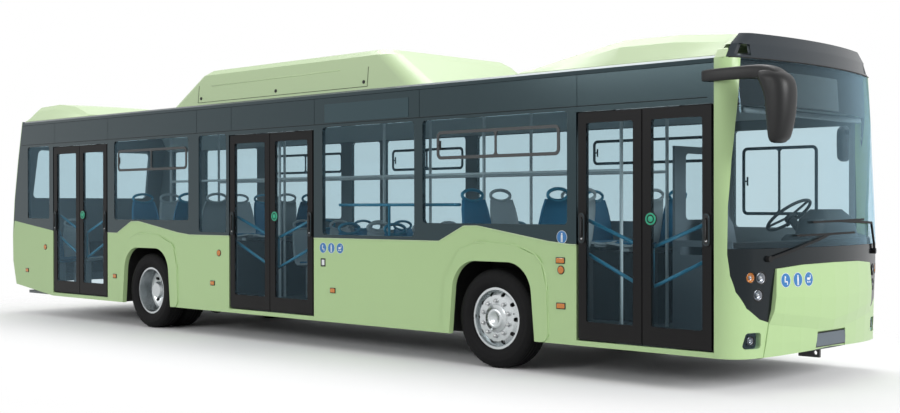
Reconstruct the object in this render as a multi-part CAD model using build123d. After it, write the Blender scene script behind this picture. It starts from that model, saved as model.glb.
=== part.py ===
from build123d import *
from math import asin, cos, hypot, radians, sin
import os

# Low-floor city bus, 12.4 m long, with three double doors on its right side.
#
# Millimetres. +X points forward, +Y to the bus's left, +Z up, and Z = 0 is the road.

os.makedirs("parts", exist_ok=True)

# Overall size
wheelbase = 5950
front_overhang = 2870
rear_overhang = 3640
mirror_reach = 300
half_width = 1275
wall = 45
seam = 0.5

length = front_overhang + wheelbase + rear_overhang
nose_x = length / 2 - mirror_reach / 2
tail_x = nose_x - length
front_axle_x = nose_x - front_overhang
rear_axle_x = front_axle_x - wheelbase

# Heights of the body's lines above the road
skirt_z = 300
sill_z = 346
belt_z = 1208
belt_hump = 155
window_low_z = 1250
window_high_z = 1390
window_top_z = 2420
cove_z = 2455
gutter_z = 2736
visor_z = 2779
eaves_z = 2800
roof_crown_z = 2890
roof_sheet = 40

# Plan of the nose and the tail
nose_radius = 4400
tail_radius = 20000
cap_join_x = front_axle_x + 2463

# Height, setback from the furthest point and corner radius, for the sections of the nose and the tail
nose_sections = [(skirt_z, 30, 230), (640, 22, 230), (1010, 6, 230), (1205, 4, 228), (1560, 18, 220),
                 (1930, 38, 210), (2320, 58, 185), (2560, 74, 175), (visor_z - seam, 88, 165)]
tail_sections = [(skirt_z, 150, 50), (445, 100, 50), (760, 10, 50), (1140, 0, 50), (1660, 52, 50),
                 (2250, 165, 50), (2800, 292, 50)]

# Doors: rear and front edge of each opening, from the front axle
door_spans = {"front": (1030, 2463), "middle": (-4185, -2626), "rear": (-8333, -6886)}
door_top_z = 2404
leaf_bottom_z = 370
leaf_top_z = 2394
leaf_thick = 40
leaf_gap = 24
meeting_gap = 14
pin_depth = 75
post_clearance = 5
stile = 88
top_rail = 95
bottom_rail = 150
pane = 8
post_radius = 20
arm_width = 34
arm_thick = 14

# Wheels, tyre 275/70 R22.5
tyre_radius = 478
tyre_width = 276
rim_radius = 286
flange_radius = 298
wheel_y = 1097
twin_step = 316
hub_bore = 60
spindle_gap = 0.3
kingpin_y = 860
arch_low_half = 555
arch_high_half = 482
arch_top_z = 1028
arch_radius = 300
fork_low = 372
fork_high = 584
fit = 0.3

# Wheel housings inside the body: half length, inner wall, roof
front_housing = (660, 540, 1080)
rear_housing = (590, 440, 1080)

# Towing lugs
lug_z = 262
lug_bore = 20

# Floor
floor_top = 346
floor_sheet = 40

bulge = 14

# Windows on the right, from the front axle: rear edge, front edge, sill height
right_windows = [(-9060, -8440, window_high_z), (-6720, -5020, window_high_z), (-4800, -4240, window_low_z),
                 (-2480, -1050, window_low_z), (-930, 925, window_high_z)]
extra_left_windows = [(-8200, -6900, window_low_z), (-4130, -2680, window_low_z), (1130, 2400, 1340)]
hoppers = [(-6626, -5046), (-725, 844)]
extra_left_hoppers = [(-4050, -2760)]
cove_seams = [-8282, -6877, -4840, -4137, -2615, -974, 1040]
driver_window_top = 2330
pane_setback = 4

# Outlines on the nose, seen from the front, for the bus's left half: (y, z)
screen_side = [(1262, 1205), (1257, 1562), (1237, 1931), (1211, 2242), (1168, 2585), (1140, visor_z)]
mask_side = [(1262, 1205), (1262, 1160), (1252, 985), (1225, 850), (1150, 715), (1010, 620), (908, 591)]
lamp_inner = [(908, 591), (879, 694), (848, 1035)]
hood_top = [(848, 1035), (500, 1060), (0, 1066)]
panel_side = [(908, 591), (964, skirt_z)]

# Head lamps on each side: y, z, radius
head_lamps = [(1113, 968, 42), (1005, 962, 48), (1030, 822, 46)]
fog_lamp = (1090, 445, 36)

# Front panel from the bottom up: height at the middle, rise per mm towards its sides, x from the nose's tip
panel_profile = [(skirt_z + 28, -0.028, -22), (398, 0.02, -14), (468, 0.115, -12), (570, 0.115, 14), (760, 0.05, 24),
                 (1072, 0, 8)]
panel_stations = [-1000, -750, -500, -250, 0, 250, 500, 750, 1000]
plate_size = (560, 150)
plate_z = 402

louvres = 7
louvre_low = 560
louvre_step = 62
louvre_gap = 26
louvre_half = 420

# Roof fairings over the nose and tail: x from the front axle, top height, half width at the top
nose_fairing = [(230, 2835, 1120), (409, 2862, 1110), (806, 2950, 1090), (1360, 3046, 1060), (1935, 3040, 1052),
                (2463, 2998, 1050)]
tail_fairing = [(-9290, 2870, 1130), (-9180, 3022, 1060), (-8690, 3040, 1040), (-8207, 2984, 1060),
                (-7853, 2890, 1100), (-7640, 2835, 1120)]
# Gas cylinder fairing, per layer: middle x from the front axle, length, width, height, corner radius
tank_layers = [(-3456, 4678, 2150, 2800, 240), (-3403, 3500, 2080, 3185, 200), (-3395, 3270, 1950, 3245, 170),
               (-3395, 2600, 1400, 3274, 150)]
fairing_foot = 1188

# The nose fairing's front end as (y, z), from the pillar's top inwards
hood_half = [(half_width - 8, visor_z), (half_width - 60, 2850), (1066, 2926), (985, 2994), (0, 3010)]

# Height, setback, corner radius and half width of the visor's sections
visor_sections = [(visor_z, 90, 165, 1262), (2900, 110, 165, 1180), (2995, 138, 165, 1052)]
visor_back_x = front_axle_x + 2552
visor_wall = 26

flange_inset = 32

hub_in = -95

# Seat pairs on the floor: x from the front axle, side
seat_pairs = [(-4800, 1), (-4050, 1), (-3300, 1), (-2080, 1), (-1350, 1), (-2080, -1), (-1350, -1), (-7500, 1),
              (-8720, -1)]
# Seat pairs on the wheel housings: x from the front axle, side, turn
housing_pairs = [(-230, 1, 0), (-230, -1, 0), (330, 1, 180), (330, -1, 180), (-6190, 1, 0), (-6190, -1, 0),
                 (-5660, 1, 180), (-5660, -1, 180)]
seat_y = (1000, 578)

# Mirror heads: height, depth along X, width along Y, x and y offsets of the section
right_head = [(2068, 70, 120, -45, -10), (2110, 105, 165, -38, -6), (2260, 165, 220, -22, 0),
              (2420, 215, 262, -18, 0), (2520, 250, 275, -36, 0), (2580, 240, 262, -60, 0), (2625, 180, 200, -95, 0)]
left_head = [(2007, 60, 150, 0, 0), (2050, 95, 190, 0, 0), (2270, 95, 200, 0, 0), (2325, 60, 150, 0, 0)]

# Wipers, as (y, z) on the nose: pivot, elbow, grip, both blade ends
wiper_rows = [((-937, 1118), (-560, 1205), (-95, 1312), (-597, 1306), (406, 1318)),
              ((1003, 1135), (905, 1400), (150, 1425), (-362, 1417), (651, 1433))]

desk_x = 2330
desk_top = 1290

# Instrument hood: x from the front axle, y, height, depth, width
hood_layers = [(2500, 590, desk_top - 60, 320, 900), (2490, 600, 1440, 270, 720), (2480, 610, 1525, 150, 430)]
steering_centre = (2085, 640, 1468)
steering_tilt = 38
steering_radius = 232

platform_z = 600

# Lamps in each rear corner: middle height and height
tail_lamp_rows = [(820, 150), (985, 120), (1120, 120)]
tail_lamp_y = (1085, 1220)
# Side markers: x from the front axle, z, radius
marker_rows = [(843, 1065, 30), (848, 974, 30), (854, 646, 34), (-2324, 638, 34), (-6760, 700, 30), (-9050, 700, 30)]

# Standing poles: x from the front axle, y
poles = [(880, 385), (880, -385), (-900, 385), (-900, -385), (-2460, 385), (-2440, -385), (-4340, -385),
         (-4400, 385), (-5220, 400), (-5220, -400), (-6700, 400), (-6700, -400)]
pole_radius = 17
rail_z = 1900

sign_y = (-690, 400)
sign_z = (2425, 2715)


def box(x0, x1, y0, y1, z0, z1):
    """A block between two corners."""
    return Pos((x0 + x1) / 2, (y0 + y1) / 2, (z0 + z1) / 2) * Box(abs(x1 - x0), abs(y1 - y0), abs(z1 - z0))


def side_prism(points, y0, y1, radius=0):
    """An outline of (x, z) points, seen from the side, made solid from y0 to y1."""
    corners = [(x, 0, z) for x, z in points]
    line = FilletPolyline(*corners, radius=radius, close=True) if radius else Polyline(*corners, close=True)
    return Pos(0, y0, 0) * extrude(make_face(line), amount=y1 - y0, dir=(0, 1, 0))


def front_prism(points, x0, x1, radius=0):
    """An outline of (y, z) points, seen from the front, made solid from x0 to x1."""
    corners = [(0, y, z) for y, z in points]
    line = FilletPolyline(*corners, radius=radius, close=True) if radius else Polyline(*corners, close=True)
    return Pos(x0, 0, 0) * extrude(make_face(line), amount=x1 - x0, dir=(1, 0, 0))


def plan_prism(points, z0, z1, radius=0):
    """An outline of (x, y) points, seen from above, made solid from z0 to z1."""
    corners = [(x, y, 0) for x, y in points]
    line = FilletPolyline(*corners, radius=radius, close=True) if radius else Polyline(*corners, close=True)
    return Pos(0, 0, z0) * extrude(make_face(line), amount=z1 - z0, dir=(0, 0, 1))


def window_cut(x0, x1, z0, z1, y0, y1, radius=40):
    """A rounded rectangular window, as a solid to cut with or to keep as its pane."""
    return side_prism([(x0, z0), (x1, z0), (x1, z1), (x0, z1)], y0, y1, radius)


def rod(start, end, radius):
    """A round bar between two points."""
    way = Vector(*end) - Vector(*start)
    return Plane(origin=start, z_dir=way) * extrude(Circle(radius), amount=way.length)


def mirrored(shape):
    """The same shape on the bus's other side."""
    return mirror(shape, about=Plane.XZ)


def table_value(table, z):
    """Straight-line reading of a table of (height, value)."""
    for (z0, v0), (z1, v1) in zip(table, table[1:]):
        if z <= z1:
            return v0 + (v1 - v0) * (z - z0) / (z1 - z0)
    return table[-1][1]


def solids_of(*shapes):
    """All solids of the given shapes, as one compound for a node."""
    return Compound(children=[s for shape in shapes for s in shape.solids()])


def end_section(z, tip, direction, radius, corner, inset, open_x, half=half_width):
    """One plan section of the nose (direction 1) or tail (direction -1): two sides, two corner arcs and the end arc."""
    turn = asin((half - corner) / (radius - corner))
    centre = tip - direction * radius
    side_x = centre + direction * (radius - corner) * cos(turn)
    side_y = half - inset
    arc = radius - inset
    join_x, join_y = centre + direction * arc * cos(turn), arc * sin(turn)
    mid = (radians(90) - turn) / 2
    small = corner - inset
    corner_y = half - corner
    bend_x, bend_y = side_x + direction * small * sin(mid), corner_y + small * cos(mid)
    edges = [
        Line((open_x, -side_y, z), (side_x, -side_y, z)),
        ThreePointArc((side_x, -side_y, z), (bend_x, -bend_y, z), (join_x, -join_y, z)),
        ThreePointArc((join_x, -join_y, z), (centre + direction * arc, 0, z), (join_x, join_y, z)),
        ThreePointArc((join_x, join_y, z), (bend_x, bend_y, z), (side_x, side_y, z)),
        Line((side_x, side_y, z), (open_x, side_y, z)),
        Line((open_x, side_y, z), (open_x, -side_y, z)),
    ]
    return make_face(edges)


def nose_block(inset=0.0, back=0.0):
    """The solid inside the nose's outer skin, moved in by inset and open towards the doors."""
    return loft([end_section(z, nose_x - back_by, 1, nose_radius, corner, inset, cap_join_x - back)
                 for z, back_by, corner in nose_sections], ruled=True)


def tail_block(inset=0.0, back=0.0):
    """The solid inside the tail's outer skin."""
    open_x = tail_x + 900
    return loft([end_section(z, tail_x + in_by, -1, tail_radius, corner, inset, open_x + back)
                 for z, in_by, corner in tail_sections], ruled=True)


def belt_points():
    """The belt line as (x, z) from tail to nose: it rises over each wheel and towards the tail."""
    hump = [(-700, 0), (-362, belt_hump), (-182, belt_hump + 3), (700, 24), (955, 0)]
    points = [(tail_x + 130, 1352), (front_axle_x + door_spans["rear"][0], belt_z + 12)]
    for axle in (rear_axle_x, front_axle_x):
        points += [(axle + dx, belt_z + dz) for dx, dz in hump]
    return points


def flat_start(radius, corner):
    """How far behind the tip of the nose or tail the flat side starts."""
    turn = asin((half_width - corner) / (radius - corner))
    return radius - (radius - corner) * cos(turn)


def tail_edge():
    """The rear edge of the flat side, as (x, z) going up: the tail's outline less its corner."""
    return [(tail_x + in_by + flat_start(tail_radius, corner), z) for z, in_by, corner in tail_sections
            if z > skirt_z + 1]


def arch_cut(axle):
    """The wheel arch opening, right through both sides."""
    points = [(axle - arch_low_half, skirt_z - 60), (axle - arch_high_half, arch_top_z),
              (axle + arch_high_half, arch_top_z), (axle + arch_low_half, skirt_z - 60)]
    corners = [(x, 0, z) for x, z in points]
    line = FilletPolyline(*corners, radius=arch_radius) + Line(corners[-1], corners[0])
    return Pos(0, -half_width - 50, 0) * extrude(make_face(line), amount=2 * half_width + 100, dir=(0, 1, 0))


def door_cut(name, low, high):
    """A doorway's opening, through the right side only."""
    x0, x1 = (front_axle_x + x for x in door_spans[name])
    return box(x0, x1, -half_width - 60, -half_width + wall + 60, low, high)


def build_side_panels():
    """The lower side panels, one long piece a side, with wheel arches, door steps and wing bulges."""
    low = [(front_axle_x - 8340, skirt_z), (tail_x + 190, 425)]
    edge = [p for p in tail_edge() if 445 <= p[1] < 1200]
    outline = low + edge + belt_points() + [(cap_join_x, belt_z), (cap_join_x, skirt_z)]
    plate = side_prism(outline, -half_width, -half_width + wall)
    for axle in (front_axle_x, rear_axle_x):
        plate += wing_bulge(axle)
        plate -= arch_cut(axle)
    for x0, x1 in door_spans.values():
        for x in (x0, x1):
            plate -= box(front_axle_x + x - 1, front_axle_x + x, -half_width - 50, half_width, 0, belt_z + 400)
    left = mirrored(plate)
    for name in door_spans:
        plate -= door_cut(name, sill_z, belt_z + 300)
    return solids_of(plate, left)


def wing_bulge(axle):
    """The pressed wing round an arch: a thin raised field that ends in a crease ahead of the wheel."""
    points = [(axle - 640, skirt_z + 1), (axle - 620, 800), (axle - 420, 1130), (axle - 150, 1215),
              (axle + 300, 1190), (axle + 610, 1080), (axle + 690, 800), (axle + 712, skirt_z + 1)]
    outer = side_prism(points, -half_width - bulge, -half_width - bulge + 1, 90)
    inner = side_prism(points, -half_width - 1, -half_width + 1, 90)
    return loft([outer.faces().sort_by(Axis.Y)[0], inner.faces().sort_by(Axis.Y)[-1]], ruled=True)


def windows_on(side):
    """The windows of one side as (x0, x1, z0, z1)."""
    table = right_windows + (extra_left_windows if side > 0 else [])
    rows = []
    for x0, x1, z0 in table:
        top = driver_window_top if x0 > 1000 else window_top_z
        rows.append((front_axle_x + x0, front_axle_x + x1, z0, top))
    return rows


def build_cove_panels():
    """The dark panels above the windows, with their seams, and the rounded gutter along the roof's edge."""
    edge = [(tail_x + 213 + flat_start(tail_radius, 50), cove_z), (tail_x + 278 + flat_start(tail_radius, 50), gutter_z)]
    plate = side_prism([(cap_join_x, gutter_z), (cap_join_x, cove_z)] + edge, -half_width, -half_width + wall)
    plate += front_prism([(-half_width, gutter_z + 5), (-half_width + 8, eaves_z - 22), (-half_width + 40, eaves_z),
                          (-half_width + 80, eaves_z), (-half_width + 80, gutter_z - 30),
                          (-half_width + wall, gutter_z - 30), (-half_width + wall, gutter_z + 5)],
                         tail_x + tail_sections[-1][1] + flat_start(tail_radius, 50) + seam, cap_join_x)
    for x in cove_seams:
        plate -= box(front_axle_x + x - 3, front_axle_x + x + 3, -half_width - 1, -half_width + 4, cove_z - 1,
                     gutter_z + 1)
    right = plate - box(front_axle_x + door_spans["rear"][0], cap_join_x, -half_width, 0, 0, door_top_z)
    return solids_of(right, mirrored(plate))


def build_window_frames():
    """The dark panels round the side windows, from the belt line up to the cove."""
    parts = []
    for side in (-1, 1):
        belt = [(x, z + seam) for x, z in reversed(belt_points())]
        edge = [(x, z) for x, z in tail_edge() if 1400 < z < cove_z]
        top = [(tail_x + 214 + flat_start(tail_radius, 50), cove_z - seam), (cap_join_x, cove_z - seam)]
        plate = side_prism([(cap_join_x, belt_z + seam)] + belt + edge + top, -half_width, -half_width + wall)
        if side > 0:
            plate = mirrored(plate)
        else:
            for name in door_spans:
                plate -= door_cut(name, belt_z - 50, cove_z)
        for x0, x1, z0, z1 in windows_on(side):
            plate -= window_cut(x0, x1, z0, z1, side * (half_width + 5), side * (half_width - wall - 5))
        parts.append(plate)
    return solids_of(*parts)


def build_door_headers():
    """The dark strip over each doorway, between the leaves and the cove."""
    strips = []
    for x0, x1 in door_spans.values():
        x0, x1 = front_axle_x + x0 + seam, front_axle_x + x1 - seam
        strips.append(box(x0, x1, -half_width, -half_width + 30, door_top_z, cove_z - seam))
    return solids_of(*strips)


def build_side_glass():
    """One flush pane in each side window."""
    panes = []
    for side in (-1, 1):
        for x0, x1, z0, z1 in windows_on(side):
            y = side * (half_width - pane_setback)
            panes.append(window_cut(x0 + 0.3, x1 - 0.3, z0 + 0.3, z1 - 0.3, y, y - side * pane, 40))
    return solids_of(*panes)


def build_hopper_frames():
    """The rubber-framed sliding vents in the upper part of some windows, and the driver's sliding window."""
    frames = []
    for side in (-1, 1):
        rows = [(x0, x1, 2022, 2304) for x0, x1 in hoppers + (extra_left_hoppers if side > 0 else [])]
        if side > 0:
            rows.append((1205, 2050, 1462, 2160))
        y = side * (half_width - pane_setback + 0.3)
        for x0, x1, z0, z1 in rows:
            x0, x1 = front_axle_x + x0, front_axle_x + x1
            ring = window_cut(x0, x1, z0, z1, y, y + side * 9, 60)
            mid = (x0 + x1) / 2
            ring -= window_cut(x0 + 32, mid - 12, z0 + 32, z1 - 32, y - side, y + side * 10, 28)
            ring -= window_cut(mid + 12, x1 - 32, z0 + 32, z1 - 32, y - side, y + side * 10, 28)
            frames.append(ring)
    return solids_of(*frames)


def both_sides(half):
    """A closed outline from its left half, given from the bottom centre outwards and up to the top centre."""
    return half + [(-y, z) for y, z in reversed(half) if y > 0]


def screen_prism(gap=0.0):
    """The windscreen's outline as a prism through the nose."""
    half = [(0, screen_side[0][1] + gap)] + [(y - gap, z) for y, z in screen_side]
    half[1] = (half[1][0], half[1][1] + gap)
    half[-1] = (half[-1][0], half[-1][1] - gap)
    return front_prism(both_sides(half + [(0, screen_side[-1][1] - gap)])[:], cap_join_x, nose_x + 60)


def mask_prism(gap=0.0):
    """The dark band under the windscreen with its two lamp wings."""
    half = ([(0, hood_top[-1][1] + gap), (500, 1060 + gap), (848 + gap, 1035 + gap), (879 + gap, 694)]
            + [(908 + gap, 591 + 2 * gap)] + [(y - gap, z + gap) for y, z in reversed(mask_side[:-1])]
            + [(0, mask_side[0][1] - gap)])
    half[-2] = (half[-2][0], mask_side[0][1] - gap)
    return front_prism(both_sides(half), cap_join_x, nose_x + 60)


def hood_prism(gap=0.0):
    """The middle front panel between the lamps."""
    half = [(0, skirt_z - 10), (964 - gap, skirt_z - 10), (908 - gap, 591), (879 - gap, 694), (848 - gap, 1035 - gap),
            (500, 1060 - gap), (0, 1066 - gap)]
    return front_prism(both_sides(half), cap_join_x, nose_x + 60)


def build_windscreen():
    """The one-piece windscreen, which also covers the destination display."""
    return (nose_block() - nose_block(10, 5)) & screen_prism(seam)


def nose_skin():
    return nose_block() - nose_block(wall, 5)


def build_front_mask():
    """The dark panel under the windscreen with recesses for the lamps."""
    mask = nose_skin() & mask_prism(seam)
    for side in (-1, 1):
        for y, z, r in head_lamps:
            mask -= rod((nose_x - 500, side * y, z), (nose_x + 50, side * y, z), r + 6)
    return mask


def nose_bow(y):
    """How far the nose's arc falls back at a distance from the middle."""
    return nose_radius - (nose_radius ** 2 - y ** 2) ** 0.5


def panel_section(y):
    """The front panel's profile at one distance from the middle: the bumper, the slanting facet and the hood."""
    out = [(nose_x - nose_bow(y) + x, z + rise * abs(y)) for z, rise, x in panel_profile]
    back = [(x - wall, z) for x, z in reversed(out)]
    return Plane(origin=(0, y, 0), x_dir=(1, 0, 0), z_dir=(0, -1, 0)) * make_face(Polyline(*(out + back), close=True))


def build_front_panel():
    """The middle front panel: a raised hood over a V-shaped slanting facet, and a bumper with a plate recess."""
    panel = loft([panel_section(y) for y in panel_stations], ruled=True) & hood_prism(seam)
    wide, high = plate_size
    recess = front_prism([(-wide / 2, plate_z - high), (wide / 2, plate_z - high), (wide / 2 - 30, plate_z + high / 2),
                          (-wide / 2 + 30, plate_z + high / 2)], nose_x - 42, nose_x + 60)
    return panel - recess


def build_front_corners():
    """The two corner panels: bumper end, lamp surround and windscreen pillar in one piece a side."""
    skin = nose_skin() - screen_prism() - mask_prism() - hood_prism()
    y, z, r = fog_lamp
    for side in (-1, 1):
        pocket = [(side * (y - 100), z - 65), (side * (y + 95), z - 65), (side * (y + 60), z + 68),
                  (side * (y - 100), z + 68)]
        skin -= front_prism(pocket, nose_x - 600, nose_x + 50, 30)
    return solids_of(skin)


def build_head_lamps():
    """Round lamps behind clear covers, three a side, and a fog lamp in each bumper corner."""
    lamps = []
    skin = nose_block(6) - nose_block(40, 5)
    for side in (-1, 1):
        for y, z, r in head_lamps:
            lamps.append(skin & rod((nose_x - 500, side * y, z), (nose_x + 50, side * y, z), r + 5.5))
        y, z, r = fog_lamp
        pocket = [(side * (y - 99.5), z - 64.5), (side * (y + 94.5), z - 64.5), (side * (y + 59.5), z + 67.5),
                  (side * (y - 99.5), z + 67.5)]
        lamps.append(front_prism(pocket, nose_x - 600, nose_x + 50, 30) & (nose_block(14) - nose_block(40, 5)))
    return solids_of(*lamps)


def build_tail_panel():
    """The rear end wall with its rounded corners, a window opening and an engine grille opening."""
    skin = tail_block() - tail_block(wall, 5)
    edge = [(x - seam, z) for x, z in [(tail_x + 250, skirt_z - 10), (tail_x + 189, 425)] + tail_edge()]
    keep = side_prism([(tail_x - 50, skirt_z - 10)] + edge + [(tail_x - 50, eaves_z)], -half_width - 5,
                      half_width + 5)
    skin = skin & keep
    skin -= side_prism([(tail_x - 100, 200), (tail_x + 400, 200), (tail_x + 400, 395), (tail_x + 190, 425),
                        (tail_x - 100, 470)], -half_width - 5, half_width + 5)
    skin -= front_prism(rear_window_outline(0), tail_x - 50, tail_x + 500, 60)
    for pocket in tail_lamp_pockets():
        skin -= pocket
    for k in range(louvres):
        z = louvre_low + louvre_step * k
        skin -= box(tail_x - 20, tail_x + 120, -louvre_half, louvre_half, z, z + louvre_gap)
    return skin


def rear_window_outline(gap):
    return [(-980 + gap, 1690 + gap), (980 - gap, 1690 + gap), (960 - gap, 2400 - gap), (-960 + gap, 2400 - gap)]


def build_rear_window():
    return (tail_block() - tail_block(10, 5)) & front_prism(rear_window_outline(0.3), tail_x - 50, tail_x + 500, 60)


def build_roof():
    """The arched roof sheet between the eaves, cut to the body's plan at both ends."""
    edge_y = half_width - 80 - fit
    low = eaves_z - roof_sheet
    outer = ThreePointArc((0, -edge_y, eaves_z), (0, 0, roof_crown_z), (0, edge_y, eaves_z))
    inner = ThreePointArc((0, edge_y, low), (0, 0, roof_crown_z - roof_sheet), (0, -edge_y, low))
    face = make_face([outer, Line((0, edge_y, eaves_z), (0, edge_y, low)), inner,
                      Line((0, -edge_y, low), (0, -edge_y, eaves_z))])
    x0 = tail_x + tail_sections[-1][1] + wall + fit
    sheet = Pos(x0, 0, 0) * extrude(face, amount=visor_back_x - fit - x0, dir=(1, 0, 0))
    sheet -= tail_block() - tail_block(wall + fit, 5)
    chord = Line((0, edge_y, eaves_z + fit), (0, -edge_y, eaves_z + fit))
    bow = ThreePointArc((0, -edge_y, eaves_z + fit), (0, 0, roof_crown_z), (0, edge_y, eaves_z + fit))
    return sheet + Pos(x0 - 90, 0, 0) * extrude(make_face([bow, chord]), amount=130, dir=(1, 0, 0))


def fairing_section(x, top, half):
    """A fairing's cross-section: feet at the gutter, leaning sides, a shoulder and a crowned top."""
    plane = Plane(origin=(front_axle_x + x, 0, 0), x_dir=(0, 1, 0), z_dir=(1, 0, 0))
    drop = min(70, 0.6 * (top - eaves_z - 12))
    half_points = [(fairing_foot, eaves_z - 100), (fairing_foot, eaves_z + 12), (half + 10, top - drop), (half - drop, top)]
    left = [(-y, z) for y, z in half_points]
    right = [(y, z) for y, z in reversed(half_points)]
    edges = [Line(a, b) for a, b in zip(left, left[1:])] + [Line(a, b) for a, b in zip(right, right[1:])]
    edges += [ThreePointArc(left[-1], (0, top + 14), right[0]), Line(right[-1], left[0])]
    return plane * make_face(edges)


def build_roof_fairings():
    """The gas cylinder fairing amidships, and the lower fairings at the nose and over the tail."""
    faces = [Pos(front_axle_x + x, 0, z) * RectangleRounded(long, wide, r) for x, long, wide, z, r in tank_layers]
    tank = loft(faces, ruled=True)
    base = roof_base()
    return solids_of(tank - base, loft([fairing_section(*row) for row in nose_fairing], ruled=True) - base,
                     loft([fairing_section(*row) for row in tail_fairing], ruled=True) - base,
                     build_fairing_hood())


def build_fairing_hood():
    """The nose fairing's front end, where it widens and comes down over the corner pillars."""
    outline = [(-y, z) for y, z in hood_half] + [(y, z) for y, z in reversed(hood_half[:-1])]
    hood = front_prism(outline, cap_join_x + seam, visor_back_x - seam)
    return hood - box(cap_join_x, visor_back_x, -half_width + 75, half_width - 75, visor_z - 10, roof_crown_z + 10)


def roof_base():
    """Everything below the roof's outer surface, as a cutter with the fit of the fairings."""
    edge_y = half_width - 60
    outer = ThreePointArc((0, -edge_y, eaves_z + 1), (0, 0, roof_crown_z + 0.5), (0, edge_y, eaves_z + 1))
    face = make_face([outer, Line((0, edge_y, eaves_z + 1), (0, edge_y, 2000)), Line((0, edge_y, 2000), (0, -edge_y, 2000)),
                      Line((0, -edge_y, 2000), (0, -edge_y, eaves_z + 1))])
    return Pos(tail_x - 50, 0, 0) * extrude(face, amount=length + 100, dir=(1, 0, 0))


def visor_block(inset):
    """A solid whose curved front is the visor's face."""
    return loft([end_section(z, nose_x - back_by, 1, nose_radius, corner, inset, visor_back_x - 150, half)
                 for z, back_by, corner, half in visor_sections], ruled=True)


def build_visor():
    """The curved visor over the windscreen, wrapped round both corners, with a three-sided slot in each end."""
    shell = visor_block(0) - visor_block(visor_wall)
    shell -= box(visor_back_x - 400, visor_back_x, -half_width, half_width, visor_z - 80, 3100)
    slot = [(visor_back_x + 45, 2902), (visor_back_x + 150, 2880), (visor_back_x + 215, 2800),
            (visor_back_x + 45, 2800)]
    reach = half_width + 10
    return shell - side_prism(slot, -reach, -reach + 270, 12) - side_prism(slot, reach - 270, reach, 12)


def build_visor_deck():
    """The flat deck between the windscreen's top and the visor."""
    return visor_block(visor_wall + fit) & box(visor_back_x, nose_x, -half_width, half_width, visor_z, visor_z + 19)


def leaf_frames():
    """For each door leaf: name, hinge side edge, meeting edge and the sign of its run along X."""
    rows = []
    for door, (x0, x1) in door_spans.items():
        x0, x1 = front_axle_x + x0, front_axle_x + x1
        middle = (x0 + x1) / 2
        rows.append((f"{door}_door_rear_leaf", x0 + leaf_gap, middle - meeting_gap / 2, 1))
        rows.append((f"{door}_door_front_leaf", x1 - leaf_gap, middle + meeting_gap / 2, -1))
    return rows


def build_leaf(start, end, run):
    """One door leaf's frame, its pane and its rails. Returns frame with rails, and pane."""
    y0, y1 = -half_width, -half_width + leaf_thick
    low, high = leaf_bottom_z, leaf_top_z
    x0, x1 = min(start, end), max(start, end)
    frame = box(x0, x1, y0, y1, low, high)
    cut = (x0 + stile, x1 - stile, low + bottom_rail, high - top_rail)
    frame -= window_cut(*cut, y0 - 5, y1 + 5, 18)
    glass = window_cut(cut[0] + 0.3, cut[1] - 0.3, cut[2] + 0.3, cut[3] - 0.3, y0 + 6, y0 + 6 + pane, 18)
    return frame, glass


def arm_pins(start, end, run):
    """The turning post's place and the leaf's carrying pin in plan: the pin is at mid leaf, the post beyond its edge."""
    half = abs(end - start) / 2
    reach = hypot(half, pin_depth) + post_radius + post_clearance + 1
    pin = ((start + end) / 2, -half_width + pin_depth)
    post = (pin[0] - run * reach, pin[1])
    return post, pin


def build_arm(start, end, run):
    """The door's turning post with an arm above and below the leaf, and the pins on which the leaf hangs."""
    post, pin = arm_pins(start, end, run)
    bottom = floor_top + fit
    low_arm = bottom + 4
    high_arm = leaf_top_z + 6
    shape = upright(post, post_radius, bottom, high_arm + arm_thick)
    for z in (low_arm, high_arm):
        shape += box(post[0], pin[0], post[1] - arm_width / 2, post[1] + arm_width / 2, z, z + arm_thick)
        shape += upright(pin, arm_width / 2, z, z + arm_thick)
    shape += upright(pin, 10, low_arm + arm_thick / 2, leaf_bottom_z - fit)
    shape += upright(pin, 10, leaf_top_z + fit, high_arm + arm_thick / 2)
    return shape


def upright(place, radius, low, high):
    """A standing round bar at a place in plan."""
    return Pos(place[0], place[1], low) * Cylinder(radius, high - low, align=(Align.CENTER, Align.CENTER, Align.MIN))


def build_leaf_brackets(start, end, run):
    """The two blocks at the leaf's top and bottom edge that take the pins."""
    post, pin = arm_pins(start, end, run)
    return [box(pin[0] - 30, pin[0] + 30, -half_width + leaf_thick - 1, pin[1] + 20, z, z + 22)
            for z in (leaf_bottom_z, leaf_top_z - 22)]


def build_leaf_rails(start, end, run):
    """The bent grab rail on the inside of a leaf: two slanting runs joined by an upright at the meeting edge."""
    face, y = -half_width + leaf_thick - 1, -half_width + leaf_thick + 45
    out_x, in_x = start + run * 45, end - run * 45
    path = Polyline((out_x, face, 1430), (out_x, y, 1430), (in_x, y, 1200), (in_x, y, 850), (out_x, y, 1125),
                    (out_x, face, 1125))
    ring = Plane(origin=(out_x, face, 1430), z_dir=(0, 1, 0)) * Circle(14)
    return sweep(ring, path=path, transition=Transition.ROUND)


def revolve_wheel(points):
    """A wheel piece from its half section of (radius, y from the wheel's middle, outward positive)."""
    line = Polyline(*[(r, y, 0) for r, y in points], close=True)
    return revolve(make_face(line), axis=Axis.Y, revolution_arc=360)


def build_tyre():
    """A tyre centred on its wheel's middle plane, with crowned tread and bulging walls."""
    h, r1 = tyre_width / 2, tyre_radius
    bead = h - flange_inset - 8 - fit
    half = [(rim_radius + fit, bead), (flange_radius + fit, bead), (flange_radius + fit, h - flange_inset + 6),
            (flange_radius + 24, h - 12), (flange_radius + 75, h), (r1 - 52, h - 8), (r1 - 12, h - 30), (r1, h - 60)]
    return revolve_wheel([(r, -y) for r, y in half] + [(r, y) for r, y in reversed(half)])


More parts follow.
